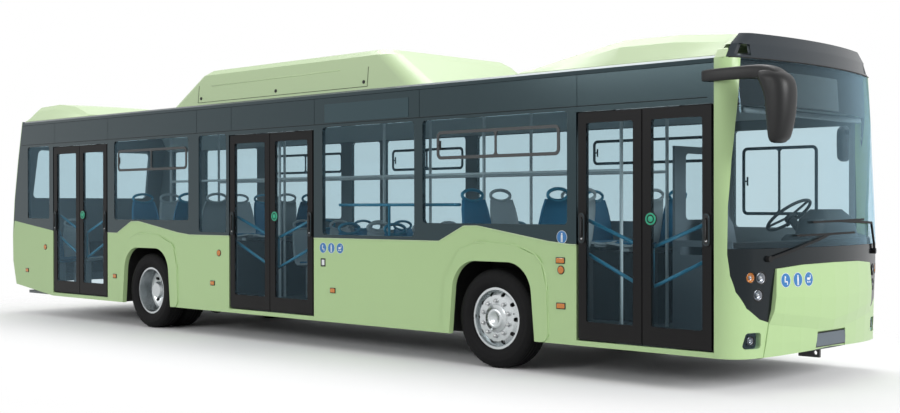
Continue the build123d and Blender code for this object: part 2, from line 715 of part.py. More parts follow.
def barrel_points(middle):
    """The rim barrel's section with a flange at each end, about its own middle plane."""
    h = tyre_width / 2 - flange_inset
    return [(r, middle + y) for r, y in [(rim_radius - 12, -h), (flange_radius, -h), (flange_radius, -h + 8),
                                         (rim_radius, -h + 8), (rim_radius, h - 8), (flange_radius, h - 8),
                                         (flange_radius, h), (rim_radius - 12, h)]]


def build_rim():
    """A front disc wheel: barrel, outward dished disc with hand holes, and the hub."""
    face = tyre_width / 2 - 38
    barrel = revolve_wheel(barrel_points(0))
    disc = revolve_wheel([(rim_radius - 11, face - 60), (rim_radius - 11, face - 40), (222, face), (150, face + 6),
                          (hub_bore + 30, face + 6), (hub_bore + 30, face - 12), (150, face - 12), (215, face - 18),
                          (rim_radius - 30, face - 60)])
    disc -= hand_holes(238, face - 25, 10)
    hub = revolve_wheel([(hub_bore, hub_in), (hub_bore + 45, hub_in), (hub_bore + 45, face), (hub_bore + 32, face + 24),
                         (0, face + 24), (0, face + 10), (hub_bore, face + 10)])
    return barrel + disc + hub


def hand_holes(radius, y, count):
    """The ring of round holes through a wheel disc."""
    step = 360 / count
    return [Rot(0, step * k, 0) * (Pos(radius, y, 0) * Rot(90, 0, 0) * Cylinder(22, 90)) for k in range(count)]


def build_twin_rim():
    """A rear twin wheel: two barrels whose discs meet midway between them, and the hub."""
    meet = -twin_step / 2
    end = tyre_width / 2 - flange_inset
    shape = revolve_wheel(barrel_points(0)) + revolve_wheel(barrel_points(-twin_step))
    disc = revolve_wheel([(rim_radius - 13, -end + 30), (rim_radius - 1, -end), (205, meet), (hub_bore + 30, meet),
                          (hub_bore + 30, meet + 16), (190, meet + 16), (rim_radius - 25, -end + 12)])
    disc -= hand_holes(232, meet + 30, 10)
    shape += disc + Pos(0, 2 * meet, 0) * mirrored(disc)
    shape += revolve_wheel([(hub_bore, meet - 90), (hub_bore + 50, meet - 90), (hub_bore + 50, 0), (hub_bore + 30, 34),
                            (0, 34), (0, 18), (hub_bore, 18)])
    return shape


def placed_wheel(shape, axle, y, side):
    """Puts a wheel piece, drawn with its outer face to +Y, on its axle at one side."""
    shape = Pos(axle, y, tyre_radius) * shape
    return shape if side > 0 else mirrored(shape)


def build_knuckle(side):
    """A steering knuckle: kingpin boss, arm and the spindle that the hub turns on."""
    shape = rod((0, kingpin_y, tyre_radius), (0, wheel_y + 96, tyre_radius), hub_bore - spindle_gap)
    shape += rod((0, kingpin_y, tyre_radius), (0, wheel_y + hub_in - 2, tyre_radius), 92)
    shape += upright((0, kingpin_y), 42, fork_low + fit, fork_high - fit)
    shape = Pos(front_axle_x, 0, 0) * shape
    return shape if side > 0 else mirrored(shape)


def build_front_axle():
    """The dropped front axle beam with a fork round each kingpin and an air spring near each end."""
    half = front_prism([(0, 195), (700, 195), (820, 330), (905, 330), (905, fork_low), (690, fork_low), (640, 292),
                        (0, 292)], -60, 60)
    half += box(-60, 60, kingpin_y - 140, kingpin_y - 68, fork_low - 30, fork_high + 40)
    half += box(-60, 60, kingpin_y - 75, kingpin_y + 45, fork_high, fork_high + 40)
    beam = half + mirrored(half)
    return Pos(front_axle_x, 0, 0) * beam


def build_rear_axle():
    """The dropped drive axle: low middle with its gear housing, end housings and a spindle for each twin wheel."""
    top = floor_top - floor_sheet - 6
    beam = Pos(0, -180, 265) * Sphere(140)
    beam -= box(-300, 300, -600, 600, top, 600)
    beam += box(-110, 110, -560, 560, 195, top)
    for side in (-1, 1):
        y0, y1 = sorted((side * 475, side * 590))
        beam += box(-120, 120, y0, y1, 195, tyre_radius + 110)
        beam += rod((0, side * 588, tyre_radius), (0, side * wheel_y, tyre_radius), hub_bore - spindle_gap)
    return Pos(rear_axle_x, 0, 0) * beam


def build_towing_lugs():
    """A towing lug with a cross bore under each end of the floor."""
    top = floor_top - floor_sheet - fit
    shapes = []
    for x, way in ((nose_x - 170, 1), (tail_x + 560, -1)):
        x0, x1 = sorted((x + way * 40, x - way * 160))
        lug = box(x0, x1, -15, 15, lug_z - 40, top)
        shapes.append(lug - rod((x, -20, lug_z), (x, 20, lug_z), lug_bore))
    return shapes


def build_links():
    """The links and air springs that carry the two axles under the floor."""
    under = floor_top - floor_sheet
    shapes = []
    for axle, reach, low in ((front_axle_x, 60, 292), (rear_axle_x, 110, under - 6)):
        for side in (-1, 1):
            y0, y1 = sorted((side * 380, side * 440))
            for way in (-1, 1):
                x0, x1 = sorted((axle + way * (reach + fit), axle + way * (reach + 600)))
                shapes.append(box(x0, x1, y0, y1, under - 80, under - fit))
    return shapes


def wheel_box(axle, housing, side):
    """One wheel housing inside the body, open downwards and to the outside."""
    half_len, inner_y, top = housing
    low = floor_top - floor_sheet
    outer_y = half_width - wall - fit
    shell = box(axle - half_len, axle + half_len, inner_y, outer_y, low, top)
    shell -= box(axle - half_len + 20, axle + half_len - 20, inner_y + 20, outer_y + 20, low - 20, top - 20)
    return shell if side > 0 else mirrored(shell)


def housings():
    """Each wheel housing with its axle, its sizes and its side."""
    return [(axle, housing, side) for axle, housing in ((front_axle_x, front_housing), (rear_axle_x, rear_housing))
            for side in (-1, 1)]


def build_wheel_housings():
    """The four wheel housings that stand in the floor's notches."""
    return solids_of(*[wheel_box(*row) for row in housings()])


def build_floor():
    """The low flat floor, notched for the wheel housings, out to the inside of the nose."""
    z0 = floor_top - floor_sheet
    y = half_width - wall - fit
    floor = box(tail_x + 480, cap_join_x - 5, -y, y, z0, floor_top)
    floor += nose_block(wall + fit, 20) & box(cap_join_x - 10, nose_x, -y, y, z0, floor_top)
    for axle, (half_len, inner_y, top), side in housings():
        low, high = sorted((side * (inner_y - fit), side * (y + 10)))
        floor -= box(axle - half_len - fit, axle + half_len + fit, low, high, z0 - 10, floor_top + 10)
    return floor


def build_chassis():
    """Two rails under the floor between the axles, and the axle links."""
    z0, z1 = 225, floor_top - floor_sheet - fit
    parts = []
    spans = [(front_axle_x + 700, cap_join_x - 40), (rear_axle_x + 640, front_axle_x - 700),
             (tail_x + 760, rear_axle_x - 640)]
    for a, b in spans:
        for side in (-1, 1):
            y0, y1 = sorted((side * 420, side * 500))
            parts.append(box(a, b, y0, y1, z0, z1))
    return parts + build_links() + build_towing_lugs()


def build_engine():
    """The engine and gearbox as one plain block in the left rear corner."""
    return box(tail_x + 490, tail_x + 1400, 250, 1050, floor_top + fit, 1250)


def make_seat(cut):
    """A moulded seat facing +X: pan, back with a grab loop on top, and a leg that ends at the cut height."""
    profile = [(-190, 400), (205, 425), (225, 452), (190, 466), (-140, 446), (-172, 480), (-262, 905), (-292, 900),
               (-212, 455)]
    shell = side_prism(profile, -208, 208)
    taper = front_prism([(-208, 380), (208, 380), (208, 600), (150, 960), (-150, 960), (-208, 600)], -320, 240, 40)
    shell = shell & taper
    shell -= front_prism([(-95, 800), (95, 800), (80, 872), (-80, 872)], -320, -200, 25)
    leg = box(-60, 40, -120, 120, cut, 412)
    return shell + leg


def mirror_head(table, x, y):
    """A mirror head lofted from rounded sections."""
    return loft([Pos(x + dx, y + dy, z) * RectangleRounded(deep, wide, min(deep, wide) / 2 - 6)
                 for z, deep, wide, dx, dy in table], ruled=True)


def build_right_mirror():
    """The right mirror: a flat arm along the corner above the door, bent to the head ahead of the windscreen."""
    y = -half_width - fit
    plan = [(2365, y), (2365, y - 30), (2470, y - 58), (2960, y - 62), (3040, y - 40), (3040, y + 10),
            (2930, y - 16), (2490, y - 14), (2440, y)]
    arm = plan_prism([(front_axle_x + x, y) for x, y in plan], 2580, 2682)
    return arm + mirror_head(right_head, front_axle_x + 3086, -half_width - 2)


def build_left_mirror():
    """The left mirror: a short arm from the pillar back to a head beside the driver's window."""
    y = half_width + fit
    plan = [(2440, y), (2400, y), (2250, y + 90), (2250, y + 130), (2300, y + 130), (2440, y + 30)]
    arm = plan_prism([(front_axle_x + x, y) for x, y in plan], 2250, 2300)
    return arm + mirror_head(left_head, front_axle_x + 2262, half_width + 125)


def bar_outline(start, end, half):
    """A thin quadrilateral round a line in the front view."""
    dy, dz = end[0] - start[0], end[1] - start[1]
    run = hypot(dy, dz)
    oy, oz = -dz / run * half, dy / run * half
    return [(start[0] + oy, start[1] + oz), (end[0] + oy, end[1] + oz), (end[0] - oy, end[1] - oz),
            (start[0] - oy, start[1] - oz)]


def build_wipers():
    """Two wipers whose arms and blades follow the curve of the windscreen."""
    shell = nose_block(-26) - nose_block(-8)
    x0, x1 = cap_join_x, nose_x + 60
    shapes = []
    for pivot, elbow, grip, tip_a, tip_b in wiper_rows:
        bars = front_prism(bar_outline(tip_a, tip_b, 9), x0, x1) + rod((x0, *elbow), (x1, *elbow), 11)
        bars += front_prism(bar_outline(pivot, elbow, 11), x0, x1) + front_prism(bar_outline(elbow, grip, 11), x0, x1)
        boss = (nose_block(-30) - nose_block(-fit)) & rod((x0, *pivot), (x1, *pivot), 26)
        shapes.append((shell & bars) + boss)
    return solids_of(*shapes)


def build_dashboard():
    """The dashboard across the nose, with the instrument hood before the driver on the left."""
    desk = [(desk_x, 760), (desk_x, desk_top - 30), (desk_x + 50, desk_top + 10), (desk_x + 150, desk_top + 12),
            (nose_x - front_axle_x, desk_top - 90), (nose_x - front_axle_x, 1000), (2600, 760)]
    left = side_prism([(front_axle_x + x, z) for x, z in desk], 60, 1200)
    side = [(2615, 760), (2615, desk_top - 40), (2660, desk_top - 30), (nose_x - front_axle_x, desk_top - 90),
            (nose_x - front_axle_x, 760)]
    right = side_prism([(front_axle_x + x, z) for x, z in side], -1200, 60)
    hood = loft([Pos(front_axle_x + x, y, z) * RectangleRounded(deep, wide, deep / 2 - 5)
                 for x, y, z, deep, wide in hood_layers], ruled=True)
    foot = box(front_axle_x + 2560, front_axle_x + 2700, 120, 1100, floor_top + fit, 780)
    inside = nose_block(wall + 14, 400) & box(cap_join_x - 400, nose_x, -1200, 1200, floor_top, 1600)
    return (right + left + hood + foot) & inside


def build_steering_wheel():
    """The steering wheel with three spokes on a column that comes out of the dashboard."""
    x, y, z = steering_centre
    place = Pos(front_axle_x + x, y, z) * Rot(0, -steering_tilt, 0)
    wheel = place * Torus(steering_radius, 15)
    wheel += place * (Pos(0, 0, -28) * Cylinder(62, 36))
    for angle in (0, 130, 230):
        wheel += place * (Rot(0, 0, angle) * box(40, steering_radius - 4, -16, 16, -24, -10))
    wheel += rod((front_axle_x + x + 18, y, z - 25), (front_axle_x + desk_x + 60, y, 1090), 38)
    return wheel - box(front_axle_x + desk_x - fit, front_axle_x + desk_x + 200, y - 100, y + 100, 900, 1400)


def build_driver_platform():
    """The driver's platform, the partition behind it with a window, and its side gate."""
    x0, x1 = front_axle_x + 1080, front_axle_x + desk_x - 5
    y1 = half_width - wall - fit
    step = box(x0, x1, 230, y1, floor_top + fit, platform_z)
    back = box(x0 - 30 - fit, x0 - fit, 230, y1, floor_top + fit, 2150)
    back -= front_prism([(420, 1420), (1080, 1420), (1080, 2080), (420, 2080)], x0 - 60, x0 + 20, 50)
    gate = box(x0, x0 + 640, 230, 260, platform_z + fit, 1220)
    gate -= box(x0 + 60, x0 + 580, 200, 300, 1080, 1160)
    return solids_of(step, back, gate)


def build_driver_seat():
    """The driver's seat: a pedestal, a cushion, a high back and a headrest."""
    x, y = front_axle_x + 1560, 660
    base = upright((x - 20, y), 120, platform_z + fit, platform_z + 180)
    side = side_prism([(x - 250, 985), (x - 240, 860), (x - 180, 770), (x + 240, 770), (x + 275, 850), (x + 230, 905),
                       (x - 130, 880), (x - 160, 1000), (x - 250, 1480), (x - 290, 1690), (x - 345, 1700),
                       (x - 330, 1500)], y - 235, y + 235)
    front = front_prism([(y - 240, 700), (y + 240, 700), (y + 240, 1350), (y + 150, 1500), (y + 140, 1720),
                         (y - 140, 1720), (y - 150, 1500), (y - 240, 1350)], x - 400, x + 400, 40)
    return base + (side & front)


def build_tail_lamps():
    """The lamps at the rear corners, let into the tail panel."""
    skin = tail_block(-6, 5) - tail_block(14, 5)
    lamps = []
    for side in (-1, 1):
        y0, y1 = sorted(side * y for y in tail_lamp_y)
        for z, high in tail_lamp_rows:
            lamps.append(skin & box(tail_x - 60, tail_x + 300, y0, y1, z - high / 2 + 5, z + high / 2 - 5))
    return solids_of(*lamps)


def tail_lamp_pockets():
    """The pockets that the tail lamps sit in, a little larger than the lamps."""
    skin = tail_block(-20, 5) - tail_block(14 + fit, 5)
    low = tail_lamp_rows[0][0] - tail_lamp_rows[0][1] / 2 - 5
    high = tail_lamp_rows[-1][0] + tail_lamp_rows[-1][1] / 2 + 5
    pockets = []
    for side in (-1, 1):
        y0, y1 = sorted(side * y for y in tail_lamp_y)
        pockets.append(skin & box(tail_x - 60, tail_x + 300, y0 - 8, y1 + 8, low, high))
    return pockets


def build_side_markers():
    """Small round marker lamps and reflectors along both sides."""
    shapes = []
    for x, z, r in marker_rows:
        lamp = rod((front_axle_x + x, -half_width - fit, z), (front_axle_x + x, -half_width - 12, z), r)
        shapes += [lamp, mirrored(lamp)]
    return solids_of(*shapes)


def ceiling_at(y):
    """Height of the roof's underside at a distance from the middle."""
    edge_y = half_width - 80 - fit
    rise = roof_crown_z - eaves_z
    radius = (edge_y ** 2 + rise ** 2) / (2 * rise)
    return roof_crown_z - roof_sheet - radius + (radius ** 2 - y ** 2) ** 0.5


def build_handrails():
    """Poles from the floor to the roof, joined by a long grab rail on each side of the aisle."""
    shapes = []
    for side in (-1, 1):
        row = sorted((x, y) for x, y in poles if y * side > 0)
        shape = None
        for x, y in row:
            pole = upright((front_axle_x + x, y), pole_radius, floor_top + fit, ceiling_at(abs(y) + pole_radius) - fit)
            shape = pole if shape is None else shape + pole
        for (xa, ya), (xb, yb) in zip(row, row[1:]):
            shape += rod((front_axle_x + xa, ya, rail_z), (front_axle_x + xb, yb, rail_z), pole_radius - 2)
        shapes.append(shape)
    return solids_of(*shapes)


def build_display():
    """The destination display's case behind the windscreen's top, hung from the visor deck, with a blank face."""
    back, front = visor_back_x - 12, nose_x - 175
    case = box(back, front, sign_y[0], sign_y[1], sign_z[0], sign_z[1])
    for y in (sign_y[0] + 60, sign_y[1] - 60):
        case += box(back + 20, back + 60, y - 30, y + 30, sign_z[1] - 1, visor_z - fit)
    return case


def build_seats():
    """Passenger seats in pairs on the floor, and facing pairs on top of the wheel housings."""
    low, high = make_seat(0), make_seat(380)
    shapes = []
    for x, side in seat_pairs:
        shapes += [Pos(front_axle_x + x, side * y, floor_top + fit) * low for y in seat_y]
    for x, side, turn in housing_pairs:
        place = front_housing[2] + fit - 380
        shapes += [Pos(front_axle_x + x, side * y, place) * (Rot(0, 0, turn) * high) for y in seat_y]
    return solids_of(*shapes)


def export(name, shape):
    export_step(shape, f"parts/{name}.step")


export("side_panels", build_side_panels())
export("cove_panels", build_cove_panels())
export("window_frames", solids_of(build_window_frames(), build_door_headers()))
export("side_glass", build_side_glass())
export("hopper_frames", build_hopper_frames())
export("windscreen", build_windscreen())
export("front_mask", build_front_mask())
export("front_panel", build_front_panel())
export("front_corner_panels", build_front_corners())
export("head_lamps", build_head_lamps())
export("tail_panel", build_tail_panel())
export("rear_window", build_rear_window())
export("roof", solids_of(build_roof(), build_visor_deck()))
export("roof_fairings", build_roof_fairings())
export("visor", build_visor())
export("floor", build_floor())
export("chassis_rails", solids_of(*build_chassis()))
export("engine", build_engine())
export("front_axle", build_front_axle())
export("rear_axle", build_rear_axle())
export("seats", build_seats())
export("mirrors", solids_of(build_right_mirror(), build_left_mirror()))
export("wipers", build_wipers())
export("dashboard", build_dashboard())
export("steering_wheel", build_steering_wheel())
export("driver_platform", build_driver_platform())
export("driver_seat", build_driver_seat())
export("tail_lamps", build_tail_lamps())
export("side_markers", build_side_markers())
export("handrails", build_handrails())
export("destination_display", build_display())
export("wheel_housings", build_wheel_housings())

for leaf, start, end, run in leaf_frames():
    frame, glass = build_leaf(start, end, run)
    for extra in build_leaf_brackets(start, end, run):
        frame += extra
    frame += build_leaf_rails(start, end, run)
    export(leaf, frame)
    export(leaf + "_glass", glass)
    export(leaf + "_arm", build_arm(start, end, run))

tyre = build_tyre()
front_rim = build_rim()
rear_rim = build_twin_rim()
for side, word in ((1, "left"), (-1, "right")):
    export(f"front_{word}_tyre", placed_wheel(tyre, front_axle_x, wheel_y, side))
    export(f"front_{word}_rim", placed_wheel(front_rim, front_axle_x, wheel_y, side))
    export(f"{word}_knuckle", build_knuckle(side))
    outer = placed_wheel(tyre, rear_axle_x, wheel_y, side)
    inner = placed_wheel(tyre, rear_axle_x, wheel_y - twin_step, side)
    export(f"rear_{word}_twin_tyres", solids_of(outer, inner))
    export(f"rear_{word}_rim", placed_wheel(rear_rim, rear_axle_x, wheel_y, side))
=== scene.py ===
from math import cos, pi, sin, tau

import bpy
from mathutils import Matrix, Vector
from mathutils.bvhtree import BVHTree


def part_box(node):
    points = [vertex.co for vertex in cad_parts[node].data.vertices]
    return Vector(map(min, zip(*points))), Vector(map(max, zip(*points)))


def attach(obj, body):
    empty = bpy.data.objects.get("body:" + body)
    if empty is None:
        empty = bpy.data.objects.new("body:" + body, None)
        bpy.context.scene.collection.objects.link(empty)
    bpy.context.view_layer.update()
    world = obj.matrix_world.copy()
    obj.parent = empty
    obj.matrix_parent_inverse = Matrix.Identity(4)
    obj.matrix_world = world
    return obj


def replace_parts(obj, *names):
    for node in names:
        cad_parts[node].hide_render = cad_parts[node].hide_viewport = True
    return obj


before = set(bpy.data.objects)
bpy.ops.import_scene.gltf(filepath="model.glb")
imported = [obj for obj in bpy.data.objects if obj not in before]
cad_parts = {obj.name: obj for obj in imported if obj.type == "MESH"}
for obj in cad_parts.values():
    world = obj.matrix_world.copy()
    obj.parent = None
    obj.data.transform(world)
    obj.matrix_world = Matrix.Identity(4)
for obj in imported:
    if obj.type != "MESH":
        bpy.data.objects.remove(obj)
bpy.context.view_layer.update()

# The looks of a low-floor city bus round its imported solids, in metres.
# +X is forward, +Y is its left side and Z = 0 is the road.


# Places that the frame gives

def middle(node):
    """The middle of a CAD node's box."""
    low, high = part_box(node)
    return (low + high) / 2


wheel = middle("front_left_tyre")
front_x, hub_z = wheel.x, wheel.z
rear_x = middle("rear_left_twin_tyres").x
half = 1.275
belt_z, belt_hump = 1.208, 0.155
nose_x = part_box("front_panel")[1].x
nose_radius, nose_tip = 4.4, nose_x - 0.024
tail_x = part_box("tail_panel")[0].x
doors = ("front", "middle", "rear")


# Shader maths

class Value:
    """A number that varies over a surface, so that sums on it read as plain expressions."""

    def __init__(self, tree, out):
        self.tree, self.out = tree, out

    def sum_with(self, operation, a, b):
        node = self.tree.nodes.new("ShaderNodeMath")
        node.operation = operation
        for slot, given in zip(node.inputs, (a, b)):
            if isinstance(given, Value):
                self.tree.links.new(given.out, slot)
            else:
                slot.default_value = given
        return Value(self.tree, node.outputs[0])

    def __add__(self, other):
        return self.sum_with("ADD", self, other)

    def __sub__(self, other):
        return self.sum_with("SUBTRACT", self, other)

    def __rsub__(self, other):
        return self.sum_with("SUBTRACT", other, self)

    def __mul__(self, other):
        return self.sum_with("MULTIPLY", self, other)

    def __pow__(self, other):
        return self.sum_with("POWER", self, other)

    def __gt__(self, other):
        return self.sum_with("GREATER_THAN", self, other)

    __radd__, __rmul__ = __add__, __mul__


class Wiring:
    """A node tree, with the node whose inputs are set unless another is named."""

    def __init__(self, tree, main):
        self.tree, self.main = tree, tree.nodes[main]

    def set(self, socket, given, node=None):
        """Sets or links one input of a node."""
        slot = (node or self.main).inputs[socket]
        if isinstance(given, Value):
            self.tree.links.new(given.out, slot)
        else:
            slot.default_value = given

    def node(self, kind, settings=None, out=0, **given):
        """Adds a node with its settings and its inputs, and gives one output."""
        node = self.tree.nodes.new("ShaderNode" + kind)
        for word, value in (settings or {}).items():
            setattr(node, word, value)
        for word, value in given.items():
            numbered = word[0] == "n" and word[1:].isdigit()
            self.set(int(word[1:]) if numbered else word.replace("_", " "), value, node)
        return Value(self.tree, node.outputs[out])

    def mix(self, factor, first, second):
        """A colour between two others."""
        first, second = ((*given, 1.0) if isinstance(given, tuple) else given for given in (first, second))
        return self.node("Mix", {"data_type": "RGBA"}, 2, n0=factor, n6=first, n7=second)

    def ease(self, value, low, high):
        """0 below low and 1 above high, with a soft step between."""
        soft = {"interpolation_type": "SMOOTHSTEP"}
        return self.node("MapRange", soft, Value=value, From_Min=low, From_Max=high)


class Finish(Wiring):
    """A material whose varying parts are put together by the methods here."""

    def __init__(self, name, color, roughness, metallic=0.0, coat=0.0, **constants):
        self.made = bpy.data.materials.new(name)
        self.made.use_nodes = True
        super().__init__(self.made.node_tree, "Principled BSDF")
        self.set("Base Color", (*color, 1.0))
        self.set("Roughness", roughness)
        self.set("Metallic", metallic)
        self.set("Coat Weight", coat)
        for word, value in constants.items():
            self.set(word.replace("_", " ").title().replace("Ior", "IOR"), value)

    def place(self):
        """Where a point is in the row frame."""
        return self.node("TexCoord", out=3)

    def axis(self, index):
        """One coordinate of a point in the row frame."""
        return self.node("SeparateXYZ", out=index, Vector=self.place())

    def noise(self, scale, detail=3.0, stretch=(1, 1, 1)):
        """Soft noise in the row frame, 0 to 1."""
        place = self.node("Mapping", Vector=self.place(), Scale=stretch)
        return self.node("TexNoise", Vector=place, Scale=scale, Detail=detail)

    def spread(self, value, low, high):
        """A value from 0 to 1 turned into one from low to high."""
        return self.node("MapRange", None, 0, Value=value, To_Min=low, To_Max=high)

    def bump(self, height, strength, distance=0.001):
        """Raises the surface by a height from 0 to 1."""
        self.set("Normal", self.node("Bump", Strength=strength, Distance=distance, Height=height))
        return self


def painted(name, color, roughness, coat, dirt=0.10, grain=0.05, shine=0.5, tint=(1, 1, 1)):
    """Body paint: a faint wave of orange peel, and road film that thickens towards the skirt."""
    finish = Finish(name, color, roughness, coat=coat, coat_roughness=0.08, specular_ior_level=shine,
                    specular_tint=(*tint, 1))
    height = finish.spread(finish.axis(2), 1.0, 0.0)
    film = finish.noise(3.0, 5.0, (1, 1, 0.6)) * height * dirt
    finish.set("Base Color", finish.mix(film, color, (0.22, 0.20, 0.17)))
    finish.set("Roughness", finish.noise(9.0) * 0.04 + (roughness - 0.02))
    return finish.bump(finish.noise(160.0, 1.0), grain, 0.0003)


def moulded(name, color, roughness, scale=1400.0, strength=0.25, **constants):
    """Plastic or rubber with a fine grain."""
    finish = Finish(name, color, roughness, **constants)
    finish.set("Roughness", finish.noise(40.0) * 0.14 + (roughness - 0.07))
    return finish.bump(finish.noise(scale, 2.0), strength, 0.0006)


def metal(name, color, roughness, brushed=(1, 1, 1)):
    """Bare or painted steel with fine streaks."""
    finish = Finish(name, color, roughness, metallic=1.0)
    streak = finish.noise(300.0, 2.0, brushed)
    finish.set("Roughness", streak * 0.16 + (roughness - 0.08))
    return finish.bump(streak, 0.05, 0.0003)


def glass(name, see_through):
    """Thin tinted glass: light passes with the tint, and a clear reflection lies on it."""
    finish = Finish(name, see_through, 0.02)
    clear = finish.node("BsdfTransparent", Color=(*see_through, 1.0))
    gloss = finish.node("BsdfGlossy", Roughness=0.02, Color=(0.55, 0.82, 1.0, 1.0))
    film = finish.noise(1.4, 2.0) * 0.01 + 0.008
    grazing = finish.node("LayerWeight", None, 1, Blend=0.5)
    both = finish.node("MixShader", n0=grazing ** 5.0 * 0.8 + film, n1=clear, n2=gloss)
    finish.tree.nodes.remove(finish.main)
    finish.set("Surface", both, finish.tree.nodes["Material Output"])
    return finish


lime = painted("lime_green_paint", (0.405, 0.570, 0.282), 0.32, 0.15, shine=0.25)
# The next paint is a lighter copy of the lime paint: painted light that makes the roof fairings read as lit
# from above, and the painted highlight along the belt line.
lime_painted_lighter = painted("lime_green_paint_painted_lighter", (0.470, 0.605, 0.350), 0.40, 0.15, dirt=0.02, grain=0.02)
anthracite = painted("anthracite_paint", (0.006, 0.013, 0.017), 0.17, 0.05, 0.03, shine=0.55,
                     tint=(0.62, 0.92, 1))
mask_black = painted("mask_black_paint", (0.004, 0.005, 0.006), 0.16, 0.0, 0.02, shine=0.32,
                     tint=(0.75, 0.92, 1))
door_black = painted("door_black_paint", (0.005, 0.005, 0.0055), 0.42, 0.0, dirt=0.04, shine=0.14)
slate = painted("visor_slate_paint", (0.010, 0.013, 0.017), 0.25, 0.1, 0.02, shine=0.45, tint=(0.75, 0.9, 1))
roof_grey = painted("roof_sheet_paint", (0.30, 0.33, 0.34), 0.5, 0.1)
window_tint = glass("window_tinted_glass", (0.80, 0.865, 0.885))
screen_tint = glass("windscreen_glass", (0.885, 0.935, 0.95))
lens = glass("lamp_lens", (0.92, 0.94, 0.96))
rubber = moulded("black_rubber", (0.007, 0.007, 0.0075), 0.62, 700.0, 0.3, specular_ior_level=0.25)
trim = moulded("black_trim_plastic", (0.008, 0.0085, 0.009), 0.42, specular_ior_level=0.3)
tyre_rubber = moulded("tyre_rubber", (0.005, 0.005, 0.0055), 0.7, 500.0, 0.4, specular_ior_level=0.15)
rim_paint = metal("rim_silver", (0.52, 0.55, 0.56), 0.26)
grab_grey = moulded("grab_rail_grey", (0.72, 0.74, 0.75), 0.35)
arch_black = moulded("arch_black", (0.012, 0.012, 0.012), 0.8)
frit = moulded("glass_edge_black", (0.004, 0.005, 0.006), 0.5, specular_ior_level=0.2)
seat_grey = moulded("seat_back_grey", (0.52, 0.55, 0.57), 0.45)
steel = metal("brushed_steel", (0.60, 0.61, 0.62), 0.30, (1, 1, 0.08))
chrome = metal("lamp_reflector", (0.22, 0.23, 0.25), 0.20)
under_steel = moulded("chassis_black", (0.030, 0.030, 0.031), 0.55)
engine_cast = moulded("engine_cast_iron", (0.14, 0.14, 0.14), 0.6)
floor_cover = moulded("speckled_floor_cover", (0.10, 0.115, 0.12), 0.55, 260.0, 0.2)
vent_frame = moulded("vent_frame_grey", (0.022, 0.027, 0.029), 0.40)
lining = moulded("wall_lining", (0.62, 0.66, 0.66), 0.5)
lining_dark = moulded("lower_wall_lining", (0.200, 0.225, 0.235), 0.6)
desk_black = moulded("dashboard_plastic", (0.022, 0.028, 0.031), 0.55, specular_ior_level=0.3)
seat_shell = moulded("seat_shell_grey", (0.16, 0.18, 0.20), 0.45)
seat_blue = moulded("seat_cloth_blue", (0.005, 0.150, 0.290), 0.5, 1800.0, 0.4)
rail_blue = painted("rail_blue_paint", (0.012, 0.215, 0.345), 0.35, 0.3, dirt=0.0)
disc_blue = painted("disc_blue", (0.009, 0.150, 0.40), 0.35, 0.3, dirt=0.0)
white_film = Finish("white_film", (0.72, 0.74, 0.75), 0.4)
button_green = moulded("button_green", (0.01, 0.34, 0.19), 0.35, 300.0, 0.05)
amber = Finish("amber_lens", (0.55, 0.17, 0.01), 0.14, coat=0.5)
red = Finish("red_lens", (0.42, 0.010, 0.008), 0.12, coat=0.6)
clear_lamp = Finish("frosted_lamp", (0.30, 0.32, 0.34), 0.16, coat=0.6)
plate_blank = Finish("blank_plate", (0.075, 0.100, 0.125), 0.4, coat=0.2)
display_dark = Finish("display_black", (0.006, 0.007, 0.008), 0.18, coat=0.4)
display_face = Finish("display_face", (0.010, 0.018, 0.020), 0.25, coat=0.3)
sign_glass = Finish("side_sign_glass", (0.022, 0.042, 0.050), 0.2, specular_tint=(0.6, 0.9, 1, 1))

finish_of = {}
for finish, nodes in (
        (lime, "side_panels front_panel front_corner_panels tail_panel"),
        (lime_painted_lighter, "roof_fairings"),
        (anthracite, "cove_panels window_frames"),
        (mask_black, "front_mask"),
        (slate, "visor"),
        (roof_grey, "roof"),
        (vent_frame, "hopper_frames"),
        (window_tint, "side_glass rear_window"),
        (screen_tint, "windscreen"),
        (floor_cover, "floor"),
        (arch_black, "wheel_housings"),
        (seat_shell, "driver_platform seats driver_seat"),
        (under_steel, "chassis_rails front_axle rear_axle left_knuckle right_knuckle"),
        (engine_cast, "engine"),
        (trim, "mirrors"),
        (rubber, "wipers"),
        (desk_black, "dashboard steering_wheel"),
        (grab_grey, "handrails"),
        (display_dark, "destination_display"),
        (lens, "head_lamps"),
        (red, "tail_lamps"),
        (amber, "side_markers")):
    finish_of.update({node: finish for node in nodes.split()})
for name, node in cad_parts.items():
    finish = finish_of.get(name)
    if "leaf" in name:
        finish = {"glass": window_tint, "arm": under_steel}.get(name.split("_")[-1], door_black)
    if name.endswith("rim"):
        finish = rim_paint
    if finish:
        node.data.materials.clear()
        node.data.materials.append(finish.made)
        node.data.polygons.foreach_set("material_index", [0] * len(node.data.polygons))


def look_where(node, finish, chosen):
    """Gives one more finish to the faces of a CAD node that a test on centre and normal chooses."""
    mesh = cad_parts[node].data
    mesh.materials.append(finish.made)
    index = len(mesh.materials) - 1
    for face in mesh.polygons:
        if chosen(face.center, face.normal):
            face.material_index = index


def faces_in(at, facing, depth=0.0, more=0.0):
    """Whether a face looks to the middle of the bus from more than a depth behind the side."""
    return abs(at.y) < half - depth and facing.y * at.y < -0.3 * abs(at.y) - more


look_where("side_panels", lining_dark, lambda at, facing: faces_in(at, facing, 0.004))
look_where("tail_panel", lining_dark, lambda at, facing: facing.x > 0.3 or faces_in(at, facing, more=0.01))
look_where("front_corner_panels", trim, lambda at, facing: facing.x < -0.3)
look_where("window_frames", lining_dark, lambda at, facing: faces_in(at, facing, 0.010))
look_where("cove_panels", lining, faces_in)


# Meshes

